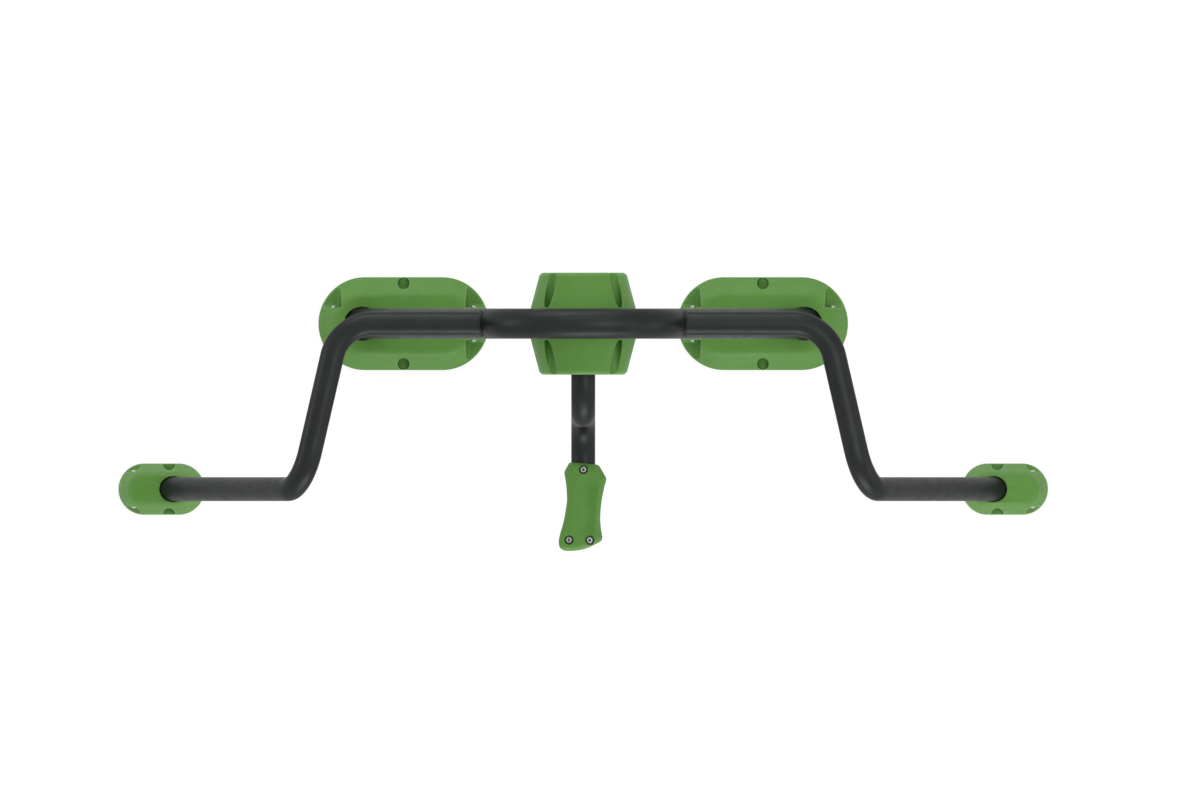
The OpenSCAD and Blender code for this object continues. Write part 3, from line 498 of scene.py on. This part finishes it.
def settled(skin, cut, points, reach):
    """Points moved onto the shell, those near its parting edge onto the edge itself."""
    points = onto(lambda x, y, z: np.maximum(skin(x, y, z), cut(x, y, z)), points, SKIN_ROUNDS)
    near = np.maximum(np.abs(skin(*points.T)), np.abs(cut(*points.T))) < reach
    for field in EDGE_ROUNDS * (skin, cut):
        points[near] = onto(field, points[near], 1)
    return points


def surface(field, low, high, step):
    """Points and quads of the surface where the field is zero, inside the box."""
    low = np.array(low) - GRID_MARGIN * step
    counts = np.ceil((np.array(high) + GRID_MARGIN * step - low) / step).astype(int) + 1
    x, y, z = (low[a] + step * np.arange(counts[a]) for a in range(3))
    values = field(x[:, None, None], y[None, :, None], z[None, None, :]).astype(np.float32)
    total, count = edges_of(values)
    cells = count > 0
    index = np.full(cells.shape, -1)
    index[cells] = np.arange(cells.sum())
    points = low + step * (np.argwhere(cells) + total[cells] / count[cells][:, None])
    quads = []
    inside = values < 0
    for axis in range(3):
        u, v = (axis + 1) % 3, (axis + 2) % 3
        near, far = [slice(1, -1)] * 3, [slice(1, -1)] * 3
        near[axis], far[axis] = slice(0, -1), slice(1, None)
        starts, ends = inside[tuple(near)], inside[tuple(far)]
        for leaves, turn in ((starts & ~ends, 1), (~starts & ends, -1)):
            place = np.argwhere(leaves)
            place[:, [u, v]] += 1
            corners = []
            for du, dv in ((-1, -1), (0, -1), (0, 0), (-1, 0))[::turn]:
                cell = place.copy()
                cell[:, u] += du
                cell[:, v] += dv
                corners.append(index[tuple(cell.T)])
            quads.append(np.stack(corners, axis=1))
    return points, np.concatenate(quads)


def raw_mesh(name, points, faces):
    """Mesh from arrays of points and of faces with the same number of corners."""
    mesh = bpy.data.meshes.new(name)
    corners = faces.shape[1]
    mesh.vertices.add(len(points))
    mesh.vertices.foreach_set("co", np.asarray(points, np.float32).ravel())
    mesh.loops.add(faces.size)
    mesh.loops.foreach_set("vertex_index", faces.astype(np.int32).ravel())
    mesh.polygons.add(len(faces))
    mesh.polygons.foreach_set("loop_start", np.arange(0, faces.size, corners, dtype=np.int32))
    mesh.update(calc_edges=True)
    mesh.validate()
    return mesh


def points_of(mesh):
    points = np.empty(3 * len(mesh.vertices), np.float32)
    mesh.vertices.foreach_get("co", points)
    return points.reshape(-1, 3).astype(float)


def triangles_of(mesh):
    mesh.calc_loop_triangles()
    corners = np.empty(3 * len(mesh.loop_triangles), np.int32)
    mesh.loop_triangles.foreach_get("vertices", corners)
    return corners.reshape(-1, 3)


def thinned(mesh, flat, share):
    """The mesh with its flat points thinned out until a share of its faces is left."""
    piece = bpy.data.objects.new(mesh.name, mesh)
    bpy.context.collection.objects.link(piece)
    piece.vertex_groups.new(name="flat").add(np.flatnonzero(flat).tolist(), 1, "REPLACE")
    modifier = piece.modifiers.new("thin", "DECIMATE")
    modifier.ratio = share
    modifier.vertex_group = "flat"
    graph = bpy.context.evaluated_depsgraph_get()
    result = bpy.data.meshes.new_from_object(piece.evaluated_get(graph))
    bpy.data.objects.remove(piece)
    return result


def bend_of(skin, points, probe):
    """How sharply the skin bends at each point: edges near 1, hollows near -1."""
    around = sum(skin(*(points + side * probe * axis).T) for axis in np.eye(3) for side in (-1, 1))
    return np.clip((around - 6 * skin(*points.T)) / probe ** 2 * EDGE_SCALE, -1, 1)


def moulded(skin, cut, low, high, step):
    """Points, triangles, normals and bend of a moulded shell: the skin's form where cut is negative."""
    reach = EDGE_REACH * step
    points, quads = surface(lambda x, y, z: np.maximum(skin(x, y, z), cut(x, y, z)), low, high, step)
    points = settled(skin, cut, points, reach)
    flat = np.abs(bend_of(skin, points, FLAT_PROBE)) < FLAT_BEND
    mesh = thinned(raw_mesh("moulded", points, quads), flat, KEEP_SHARE)
    points = settled(skin, cut, points_of(mesh), reach)
    normals = gradient(skin, points, PROBE)
    normals /= np.maximum(np.linalg.norm(normals, axis=1), LEAST_NORM)[:, None]
    return points, triangles_of(mesh), normals, bend_of(skin, points, EDGE_PROBE)


# Pieces

def new_piece(name, mesh):
    piece = bpy.data.objects.new(name, mesh)
    bpy.context.collection.objects.link(piece)
    return piece


def finish_piece(piece, body, nodes, slot):
    """Gives a piece the material named like its slot and its body, and hides the nodes that it stands for.
    """
    piece.data.materials.append(MATERIALS[slot])
    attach(piece, body)
    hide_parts(*nodes)


def shell_piece(name, shape, flip, place, body, node):
    """A moulded shell, mirrored along the axes where flip is -1 and moved to its place."""
    points, faces, normals, bend = shape
    flip = np.array(flip)
    if flip.prod() < 0:
        faces = faces[:, ::-1]
    mesh = raw_mesh(name, points * flip + np.array(place), faces)
    mesh.shade_smooth()
    mesh.normals_split_custom_set_from_vertices((normals * flip).tolist())
    mesh.attributes.new("bend", "FLOAT", "POINT").data.foreach_set("value", bend.astype(np.float32))
    finish_piece(new_piece(name, mesh), body, [node], "green_plastic")


def loft(rings, closed_ends=True):
    """Points and faces between rings of equal counts, with a fan over each end."""
    count = len(rings[0])
    points = [Vector(p) for ring in rings for p in ring]
    faces = []
    for k in range(len(rings) - 1):
        for i in range(count):
            j = (i + 1) % count
            faces.append((k * count + i, k * count + j, (k + 1) * count + j, (k + 1) * count + i))
    if closed_ends:
        for ring, first, turn in ((rings[0], 0, -1), (rings[-1], (len(rings) - 1) * count, 1)):
            points.append(sum((Vector(p) for p in ring), Vector()) / count)
            for i in range(count):
                pair = (first + i, first + (i + 1) % count)
                faces.append((*pair[::turn], len(points) - 1))
    else:
        last = (len(rings) - 1) * count
        for i in range(count):
            j = (i + 1) % count
            faces.append((last + i, last + j, j, i))
    return points, faces


def mesh_of(name, points, faces, sharp_degrees=SHARP_DEGREES):
    mesh = bpy.data.meshes.new(name)
    mesh.from_pydata(points, [], faces)
    mesh.validate()
    mesh.shade_smooth()
    mesh.set_sharp_from_angle(angle=math.radians(sharp_degrees))
    return mesh


def bent_line(corners, bends):
    """Points and directions along a bent tube's centre line."""
    corners = [Vector(c) for c in corners]
    line = [(corners[0], (corners[1] - corners[0]).normalized())]
    for before, corner, after, bend in zip(corners, corners[1:], corners[2:], bends):
        into, out = (corner - before).normalized(), (after - corner).normalized()
        turn = into.angle(out)
        towards = (out - into * into.dot(out)).normalized()
        start = corner - into * bend * math.tan(turn / 2)
        steps = math.ceil(turn / TUBE_TURN)
        for k in range(steps + 1):
            a = turn * k / steps
            place = start + into * bend * math.sin(a) + towards * bend * (1 - math.cos(a))
            line.append((place, into * math.cos(a) + towards * math.sin(a)))
    line.append((corners[-1], (corners[-1] - corners[-2]).normalized()))
    return line


def rings_along(line, radii, sides):
    """Rings of points round a line, each turned as little as possible from the last."""
    across = line[0][1].orthogonal()
    rings = []
    for (place, along), r in zip(line, radii):
        across = (across - along * across.dot(along)).normalized()
        up = along.cross(across)
        rings.append([place + r * (across * math.cos(2 * math.pi * i / sides)
            + up * math.sin(2 * math.pi * i / sides)) for i in range(sides)])
    return rings


def at_height(z):
    """Cut that moves a point along a direction to a level plane."""
    return lambda p, d: p + d * ((z - p.z) / d.z)


def at_round(centre, axis, r, sign):
    """Cut that moves a point along a direction to a round bar, on the near or the far side."""
    centre, axis = Vector(centre), Vector(axis).normalized()

    def cut(p, d):
        offset = p - centre
        across, step = offset - axis * offset.dot(axis), d - axis * d.dot(axis)
        a, b, c = step.dot(step), across.dot(step), across.dot(across) - r * r
        return p + d * ((-b + sign * math.sqrt(b * b - a * c)) / a)

    return cut


def tube(name, corners, bends, r, body, node, start_cut=None, end_cut=None):
    """Bent tube, whose ends may be cut to what they meet. Returns its rings."""
    line = bent_line(corners, bends)
    rings = rings_along(line, len(line) * [r], TUBE_SIDES)
    if start_cut:
        rings[0] = [start_cut(p, line[0][1]) for p in rings[0]]
    if end_cut:
        rings[-1] = [end_cut(p, line[-1][1]) for p in rings[-1]]
    finish_piece(new_piece(name, mesh_of(name, *loft(rings))), body, [node], "powder_coat")
    return rings


def weld(name, ring, parent):
    """Weld bead with soft ripples along a closed ring of points."""
    count = WELD_STEPS * len(ring)
    ring = [ring[i // WELD_STEPS].lerp(ring[(i // WELD_STEPS + 1) % len(ring)], i % WELD_STEPS / WELD_STEPS)
        for i in range(count)]
    line = [(ring[i], (ring[(i + 1) % count] - ring[i - 1]).normalized()) for i in range(count)]
    length = sum((ring[i] - ring[i - 1]).length for i in range(count))
    ripples = round(length / WELD_RIPPLE)
    radii = [WELD_R * (1 + WELD_RIPPLE_SHARE * math.sin(math.pi * (i * ripples / count % 1)))
        for i in range(count)]
    shape = loft(rings_along(line, radii, WELD_SIDES), closed_ends=False)
    piece = new_piece(name, mesh_of(name, *shape, WELD_SHARP_DEGREES))
    piece.data.materials.append(MATERIALS["powder_coat"])
    piece.parent = bpy.data.objects[parent]
    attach(piece, "frame")


def head_rings(head_r, head_h):
    """Profile of a button head from its seat's edge, over the dome, into the hex socket.

    Each ring has its kind, radius, height and how much dirt and painted shade darken it.
    """
    rings = [("round", r * head_r, h * head_h, dirt_and_shade) for r, h, dirt_and_shade in RIM_RINGS]
    for k in range(DOME_STEPS):
        a = math.pi / 2 * (k + 1) / (DOME_STEPS + 1)
        r = 1 - DOME_SHARE + DOME_SHARE * math.cos(a)
        h = DOME_FOOT_SHARE + (1 - DOME_FOOT_SHARE) * math.sin(a)
        rings.append(("round", r * head_r, h * head_h, 0))
    socket_r = SOCKET_SHARE * head_r
    return rings + [(kind, r * socket_r, h * head_h, dirt_and_shade) for kind, r, h, dirt_and_shade in SOCKET_RINGS]


def hex_share(angle):
    """Distance of a hexagon's side at an angle, as a share of its corner radius."""
    wedge = 2 * math.pi / HEX_SIDES
    return math.cos(wedge / 2) / math.cos(angle % wedge - wedge / 2)


def fasteners(name, node, body, places, axis, sizes, shank):
    """Button heads at their places, heads along the axis and shanks against it."""
    head_r, head_h, shank_r = sizes
    profile = [("round", shank_r, -shank, 0), ("round", shank_r, -SHANK_DIP, 0)] + head_rings(head_r, head_h)
    side = axis.orthogonal().normalized()
    up = axis.cross(side)
    points, faces, stain_and_shade = [], [], []
    for number, place in enumerate(places):
        spin = HEAD_SPIN * number
        rings = []
        for kind, r, h, dirt_and_shade in profile:
            stain_and_shade += HEAD_SIDES * [dirt_and_shade]
            ring = []
            for i in range(HEAD_SIDES):
                a = 2 * math.pi * i / HEAD_SIDES
                out = r * (hex_share(a) if kind == "hex" else 1)
                ring.append(place + axis * h
                    + out * (side * math.cos(a + spin) + up * math.sin(a + spin)))
            rings.append(ring)
        more_points, more_faces = loft(rings)
        faces += [tuple(i + len(points) for i in face) for face in more_faces]
        points += more_points
        # The last two points are the middles of the shank's end and of the socket's floor; the floor's
        # middle gets full dirt and painted shade
        stain_and_shade += [0, 1]
    mesh = mesh_of(name, points, faces)
    mesh.attributes.new("dirt_and_shade", "FLOAT", "POINT").data.foreach_set("value", stain_and_shade)
    finish_piece(new_piece(name, mesh), body, [node], "stainless_steel")


def through_fasteners(stem, screw_node, nut_node, body, middles, axis, reach, screw, sleeve):
    """Screws along the axis and sleeve nuts against it, with their heads at a reach from the middles."""
    axis = Vector(axis)
    fasteners(stem + "_bolt_heads", screw_node, body, [Vector(place) + axis * reach for place in middles],
        axis, screw, SCREW_SHARE * reach)
    fasteners(stem + "_nut_heads", nut_node, body, [Vector(place) - axis * reach for place in middles],
        -axis, sleeve, reach)


# Materials

class Shader:
    """Node tree of one material, built around its Principled shader."""

    def __init__(self, name, color, roughness, metallic=0.0, **sockets):
        self.material = bpy.data.materials.new(name)
        self.material.use_nodes = True
        self.tree = self.material.node_tree
        self.main = self.tree.nodes["Principled BSDF"]
        self.main.inputs["Base Color"].default_value = (*color, 1)
        self.main.inputs["Roughness"].default_value = roughness
        self.main.inputs["Metallic"].default_value = metallic
        for socket, value in sockets.items():
            self.main.inputs[socket.replace("_", " ")].default_value = value
        self.place = self.add("ShaderNodeTexCoord").outputs["Object"]
        self.normal = None

    def add(self, kind, **settings):
        node = self.tree.nodes.new(kind)
        for key, value in settings.items():
            setattr(node, key, value)
        return node

    def feed(self, socket, source):
        if isinstance(source, bpy.types.NodeSocket):
            self.tree.links.new(source, socket)
        else:
            socket.default_value = source

    def noise(self, scale, detail=2.0, stretch=(1, 1, 1), roughness=0.5):
        mapping = self.add("ShaderNodeMapping")
        self.feed(mapping.inputs["Vector"], self.place)
        mapping.inputs["Scale"].default_value = stretch
        node = self.add("ShaderNodeTexNoise")
        self.feed(node.inputs["Vector"], mapping.outputs["Vector"])
        node.inputs["Scale"].default_value = scale
        node.inputs["Detail"].default_value = detail
        node.inputs["Roughness"].default_value = roughness
        return node.outputs["Fac"]

    def cells(self, scale):
        """Grey of its own for each cell of a pattern."""
        node = self.add("ShaderNodeTexVoronoi")
        self.feed(node.inputs["Vector"], self.place)
        node.inputs["Scale"].default_value = scale
        grey = self.add("ShaderNodeRGBToBW")
        self.feed(grey.inputs["Color"], node.outputs["Color"])
        return grey.outputs["Val"]

    def stored(self, name):
        """Value that the mesh stores at its points."""
        return self.add("ShaderNodeAttribute", attribute_name=name).outputs["Fac"]

    def spread(self, source, low, high, start=0.0, end=1.0):
        node = self.add("ShaderNodeMapRange")
        self.feed(node.inputs["Value"], source)
        for socket, value in (("From Min", start), ("From Max", end), ("To Min", low), ("To Max", high)):
            node.inputs[socket].default_value = value
        return node.outputs["Result"]

    def mix(self, factor, a, b):
        node = self.add("ShaderNodeMix", data_type="RGBA")
        self.feed(node.inputs["Factor"], factor)
        for socket, value in ((node.inputs[6], a), (node.inputs[7], b)):
            self.feed(socket, (*value, 1) if isinstance(value, tuple) else value)
        return node.outputs[2]

    def math(self, operation, a, b):
        node = self.add("ShaderNodeMath", operation=operation)
        self.feed(node.inputs[0], a)
        self.feed(node.inputs[1], b)
        return node.outputs[0]

    def bump(self, height, distance, strength=1.0):
        node = self.add("ShaderNodeBump")
        node.inputs["Strength"].default_value = strength
        node.inputs["Distance"].default_value = distance
        self.feed(node.inputs["Height"], height)
        if self.normal:
            self.feed(node.inputs["Normal"], self.normal)
        self.normal = node.outputs["Normal"]
        self.feed(self.main.inputs["Normal"], self.normal)

    def color(self, source):
        self.feed(self.main.inputs["Base Color"], source)

    def rough(self, source):
        self.feed(self.main.inputs["Roughness"], source)


def shade(color, by):
    return tuple(min(c * by, 1) for c in color)


def green_plastic():
    """Moulded outdoor plastic: fine grain, faint flow marks, rubbed edges, and grime with painted shade in
    the hollows and creases.
    """
    s = Shader("green_plastic", GREEN, 0.5, Specular_IOR_Level=0.5)
    flow = s.noise(9, 3, (1, 1, 2.4), 0.6)
    speckle = s.noise(700, 2)
    base = s.mix(s.spread(flow, 0, 1, 0.3, 0.7), shade(GREEN, 0.95), shade(GREEN, 1.05))
    base = s.mix(s.spread(speckle, 0, 1, 0.62, 0.75), base, shade(GREEN, 1.22))
    bend = s.stored("bend")
    rubbed = s.spread(s.noise(60, 4), 0.10, 0.50, 0.35, 0.65)
    base = s.mix(s.math("MULTIPLY", s.spread(bend, 0, 1, 0.12, 0.9), rubbed), base, WORN_GREEN)
    # Grime and painted shade: the green darkens where the skin bends inwards, in hollows, creases and
    # corners
    grime_and_shade = s.spread(s.noise(38, 4), 0.2, 0.8, 0.3, 0.7)
    s.color(s.mix(s.math("MULTIPLY", s.spread(bend, 0, 1, -0.1, -0.8), grime_and_shade), base, GRIME_AND_SHADE_GREEN))
    s.rough(s.spread(s.noise(45, 4), 0.46, 0.60, 0.3, 0.7))
    s.bump(s.noise(1500, 3), 0.00012, 0.35)
    s.bump(s.noise(110, 2), 0.0004, 0.10)
    return s.material


def powder_coat():
    """Anthracite powder coat: orange peel, a fine sparkle of grain and slightly uneven gloss."""
    s = Shader("powder_coat", COAT, 0.40, 0.75, Specular_IOR_Level=0.3,
        Specular_Tint=(0.55, 0.55, 0.55, 1))
    tone = s.mix(s.spread(s.noise(14, 3), 0, 1, 0.3, 0.7), shade(COAT, 0.92), shade(COAT, 1.10))
    s.color(s.mix(s.spread(s.noise(2600, 1), 0, 0.6, 0.60, 0.72), tone, shade(COAT, 1.6)))
    s.rough(s.spread(s.noise(30, 4), 0.37, 0.45, 0.3, 0.7))
    s.bump(s.noise(420, 2), 0.00022, 0.15)
    s.bump(s.noise(1900, 1), 0.00008, 0.25)
    return s.material


def stainless_steel():
    """Stainless fastener steel: fine brushed lines, faint smudges, and dirt with painted shade in the
    sockets and at the seats.
    """
    s = Shader("stainless_steel", STEEL, 0.28, 1.0)
    lines = s.noise(900, 2, (1, 0.12, 1))
    smudge = s.noise(160, 4)
    dirt_and_shade = s.stored("dirt_and_shade")
    steel = s.mix(s.spread(smudge, 0, 1, 0.3, 0.7), shade(STEEL, 0.86), shade(STEEL, 1.08))
    # Dirt and painted shade: sockets and seat edges darken toward a near black steel, and turn rougher
    s.color(s.mix(s.spread(dirt_and_shade, 0, 0.88), steel, shade(STEEL, 0.20)))
    s.rough(s.math("ADD", s.spread(lines, 0.20, 0.34, 0.3, 0.7), s.spread(dirt_and_shade, 0, 0.4)))
    s.bump(lines, 0.00006, 0.4)
    return s.material


def zinc_steel():
    """Hot-dip zinc: large grey spangles over a dull skin."""
    s = Shader("zinc_steel", ZINC, 0.5, 0.9)
    tone = s.spread(s.cells(90), 0, 1)
    s.color(s.mix(tone, shade(ZINC, 0.78), shade(ZINC, 1.12)))
    s.rough(s.math("ADD", s.spread(tone, 0.36, 0.55), s.spread(s.noise(400, 3), 0, 0.1)))
    s.bump(s.noise(220, 3), 0.0003, 0.25)
    return s.material


def bearing_steel():
    """Ground and oiled steel: bright, with fine turning marks."""
    s = Shader("bearing_steel", BRIGHT, 0.18, 1.0)
    marks = s.noise(1500, 1, (0.05, 1, 0.05))
    oil = s.noise(70, 4)
    s.color(s.mix(s.spread(oil, 0, 1, 0.35, 0.7), BRIGHT, shade(BRIGHT, 0.80)))
    s.rough(s.math("ADD", s.spread(marks, 0.10, 0.22), s.spread(oil, 0, 0.12, 0.4, 0.7)))
    s.bump(marks, 0.00004, 0.3)
    return s.material


def black_rubber():
    """Rubber: dull, dusty and finely pitted."""
    s = Shader("black_rubber", RUBBER, 0.75, IOR=1.45)
    s.color(s.mix(s.spread(s.noise(55, 5), 0, 0.8, 0.4, 0.75), RUBBER, shade(RUBBER, 3.0)))
    s.rough(s.spread(s.noise(300, 3), 0.66, 0.86))
    s.bump(s.noise(900, 3), 0.0002, 0.4)
    return s.material


def black_plastic():
    """Moulded black plastic: satin, with fine spark erosion grain."""
    s = Shader("black_plastic", RUBBER, 0.45)
    s.color(s.mix(s.noise(25, 3), RUBBER, shade(RUBBER, 1.8)))
    s.rough(s.spread(s.noise(200, 3), 0.38, 0.55))
    s.bump(s.noise(1100, 2), 0.00012, 0.4)
    return s.material


MATERIALS = {make.__name__: make() for make in (green_plastic, powder_coat, stainless_steel, zinc_steel,
    bearing_steel, black_rubber, black_plastic)}


# Building

def build_arch():
    """The arch, with the handrail and the cross tube that meet its leg on each side."""
    on_plate = at_height(PLATE_TOP)
    tube("arch", [(-ARCH_FOOT_X, ARCH_Y, 0), (0, ARCH_Y, ARCH_APEX_Z), (ARCH_FOOT_X, ARCH_Y, 0)],
        [ARCH_BEND_R], ARCH_R, "frame", "arch_tube", on_plate, on_plate)
    for side, word in SIDES:
        leg = ((side * ARCH_FOOT_X, ARCH_Y, 0), (-side * ARCH_FOOT_X, 0, ARCH_APEX_Z), ARCH_R)
        build_handrail(side, word, at_round(*leg, 1))
        build_cross_tube(side, word, at_round(*leg, -1))


def build_handrail(side, word, on_leg):
    """Bent tube from the arch's leg out, forward and down to its plate."""
    rail_z = PIVOT_Z + RAIL_RISE
    start_x = ARCH_TANGENT_X + (ARCH_TANGENT_Z - rail_z) / math.tan(LEAN)
    front_x = RAIL_CORNER_X + RAIL_SPLAY
    foot_x = front_x + rail_z / math.tan(LEAN)
    corners = [(side * start_x, ARCH_Y, rail_z), (side * RAIL_CORNER_X, ARCH_Y, rail_z),
        (side * front_x, RAIL_Y, rail_z), (side * foot_x, RAIL_Y, 0)]
    rings = tube("rail_" + word, corners, [RAIL_BEND_R, RAIL_BEND_R], RAIL_R, "frame",
        "handrail_" + word, on_leg, at_height(PLATE_TOP))
    weld("rail_weld_" + word, rings[0], "rail_" + word)


def build_cross_tube(side, word, on_leg):
    """Stub from the bearing housing to the arch's leg."""
    corners = [(side * HOUSING_R / 2, ARCH_Y, PIVOT_Z), (side * ARCH_TANGENT_X, ARCH_Y, PIVOT_Z)]
    on_housing = at_round((0, ARCH_Y, PIVOT_Z), (0, 1, 0), HOUSING_R, 1)
    rings = tube("cross_" + word, corners, [], CROSS_R, "frame", "cross_tube_" + word, on_housing, on_leg)
    weld("cross_weld_" + word, rings[-1], "cross_" + word)


def build_lever():
    """Lever tube: out of the drum, down, and forward to the head of its end plug inside the pad."""
    drop_y = ARCH_Y - LEVER_OUT
    tube("lever", [(0, HUB_LOW.y, PIVOT_Z), (0, drop_y, PIVOT_Z), (0, drop_y, PAD_Z),
        (0, PLUG_LOW.y + LEVER_END_INSET, PAD_Z)], [LEVER_TOP_R, LEVER_LOW_R], LEVER_R, "lever",
        "lever_tube")


def build_covers(kind, cover):
    """Four half shells of one kind of ground cover, with the bolts through their notches."""
    shape = moulded(partial(cover_skin, cover=cover), lambda x, y, z: y + SEAM,
        (-cover["length"] / 2, -cover["half_w"], 0), (cover["length"] / 2, 0, cover["height"]), COVER_STEP)
    for side, word in SIDES:
        for face, half in ((1, "front"), (-1, "rear")):
            name = f"{kind}_cover_{word}_{half}"
            shell_piece(name + "_shell", shape, (side, face, 1), (side * cover["x"], cover["y"], 0), "frame",
                name)
    ends = (-1, 1) if cover["both_ends"] else (1,)
    middles = [(side * (cover["x"] + end * cover["bolt_x"]), cover["y"], BOLT_Z)
        for side in (-1, 1) for end in ends]
    through_fasteners(kind, kind + "_cover_bolts", kind + "_cover_sleeve_nuts", "frame", middles,
        (0, -1, 0), cover["notch_y"], SCREW, SLEEVE)


def build_drum():
    """Front and rear half of the drum, with the bolts in its four grooves."""
    for face, half, mouth_r in ((-1, "front", LEVER_R + LEVER_GAP), (1, "rear", 0)):
        shape = moulded(partial(drum_skin, mouth_r=mouth_r), lambda x, y, z: SEAM - y,
            (-DRUM_R, 0, -DRUM_R), (DRUM_R, DRUM_DEPTH, DRUM_R), DRUM_STEP)
        shell_piece("drum_" + half, shape, (1, face, 1), (0, ARCH_Y, PIVOT_Z), "frame", f"drum_{half}_shell")
    middles = [(x * GROOVE_PLACE, ARCH_Y, z * GROOVE_PLACE + PIVOT_Z) for x in (-1, 1) for z in (-1, 1)]
    through_fasteners("drum", "drum_screws", "drum_sleeve_nuts", "frame", middles, (0, -1, 0), GROOVE_END,
        SCREW, SLEEVE)


def build_pad():
    """Upper and lower half of the pad, with its three screws."""
    shape = moulded(pad_skin, lambda x, y, z: SEAM - z, (-PAD_HALF_W, -PAD_START - PAD_LEN, 0),
        (PAD_HALF_W, -PAD_START, PAD_HALF_H), PAD_STEP)
    for face, half in ((1, "upper"), (-1, "lower")):
        shell_piece("pad_" + half, shape, (1, 1, face), (0, ARCH_Y, PAD_Z), "lever", f"pad_{half}_shell")
    middles = [(x * PAD_HALF_W, ARCH_Y - PAD_START - share * PAD_LEN, PAD_Z) for x, share in PAD_SCREWS]
    through_fasteners("pad", "pad_screws", "pad_sleeve_nuts", "lever", middles, (0, 0, 1), RECESS_FLOOR,
        PAD_SCREW, PAD_SLEEVE)


def dress_kept_nodes():
    """Gives the CAD nodes that stay their materials."""
    for material, nodes in KEPT.items():
        for node in nodes:
            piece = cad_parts[node]
            for slot in piece.material_slots:
                slot.material = MATERIALS[material]


# Floor, light and camera

def floor():
    """Pale floor that lights the object by its own tone, and reads near white where it is seen."""
    mesh = bpy.data.meshes.new("floor")
    corners = [(x * FLOOR_HALF, y * FLOOR_HALF, FLOOR_Z) for x, y in ((-1, -1), (1, -1), (1, 1), (-1, 1))]
    mesh.from_pydata(corners, [], [(0, 1, 2, 3)])
    material = bpy.data.materials.new("floor")
    material.use_nodes = True
    tree = material.node_tree
    tree.nodes.clear()
    diffuse, faint = (diffuse_shader(tree, tone) for tone in (FLOOR, FLOOR_SEEN))
    glow = tree.nodes.new("ShaderNodeEmission")
    glow.inputs["Strength"].default_value = FLOOR_GLOW
    seen = tree.nodes.new("ShaderNodeAddShader")
    tree.links.new(faint, seen.inputs[0])
    tree.links.new(glow.outputs[0], seen.inputs[1])
    mix = tree.nodes.new("ShaderNodeMixShader")
    tree.links.new(seen_ray(tree), mix.inputs[0])
    tree.links.new(diffuse, mix.inputs[1])
    tree.links.new(seen.outputs[0], mix.inputs[2])
    out = tree.nodes.new("ShaderNodeOutputMaterial")
    tree.links.new(mix.outputs[0], out.inputs[0])
    mesh.materials.append(material)
    new_piece("floor", mesh)


def diffuse_shader(tree, tone):
    node = tree.nodes.new("ShaderNodeBsdfDiffuse")
    node.inputs["Color"].default_value = (tone, tone, tone, 1)
    return node.outputs[0]


def seen_ray(tree):
    """1 for rays from the camera and for reflected and refracted ones, else 0."""
    path = tree.nodes.new("ShaderNodeLightPath")
    ray = path.outputs["Is Camera Ray"]
    for name in ("Is Glossy Ray", "Is Transmission Ray"):
        either = tree.nodes.new("ShaderNodeMath")
        either.operation = "MAXIMUM"
        tree.links.new(ray, either.inputs[0])
        tree.links.new(path.outputs[name], either.inputs[1])
        ray = either.outputs[0]
    return ray


def sky():
    """World: even soft light, which reads white where it is seen."""
    world = bpy.data.worlds.new("studio")
    bpy.context.scene.world = world
    world.use_nodes = True
    tree = world.node_tree
    background = tree.nodes["Background"]
    background.inputs["Color"].default_value = (1, 1, 1, 1)
    strength = tree.nodes.new("ShaderNodeMapRange")
    strength.inputs["To Min"].default_value = SKY_LIGHT
    tree.links.new(seen_ray(tree), strength.inputs["Value"])
    tree.links.new(strength.outputs["Result"], background.inputs["Strength"])


def lamps():
    for name, (place, target, width, height, power) in LAMPS.items():
        light = bpy.data.lights.new(name, "AREA")
        light.shape = "RECTANGLE"
        light.size, light.size_y, light.energy = width, height, power
        lamp = bpy.data.objects.new(name, light)
        bpy.context.collection.objects.link(lamp)
        lamp.location = place
        lamp.rotation_euler = (Vector(target) - Vector(place)).to_track_quat("-Z", "Y").to_euler()


def camera():
    lens = bpy.data.cameras.new("plan_view")
    lens.type = "ORTHO"
    lens.ortho_scale = VIEW_WIDTH
    lens.clip_end = CAMERA_CLIP
    eye = bpy.data.objects.new("plan_view", lens)
    bpy.context.collection.objects.link(eye)
    eye.location = (CAMERA_X, CAMERA_Y, CAMERA_Z)
    bpy.context.scene.camera = eye


build_arch()
build_lever()
build_covers("arch", ARCH_COVER)
build_covers("rail", RAIL_COVER)
build_drum()
build_pad()
dress_kept_nodes()
floor()
sky()
lamps()
camera()
bpy.context.scene.view_settings.view_transform = "Standard"
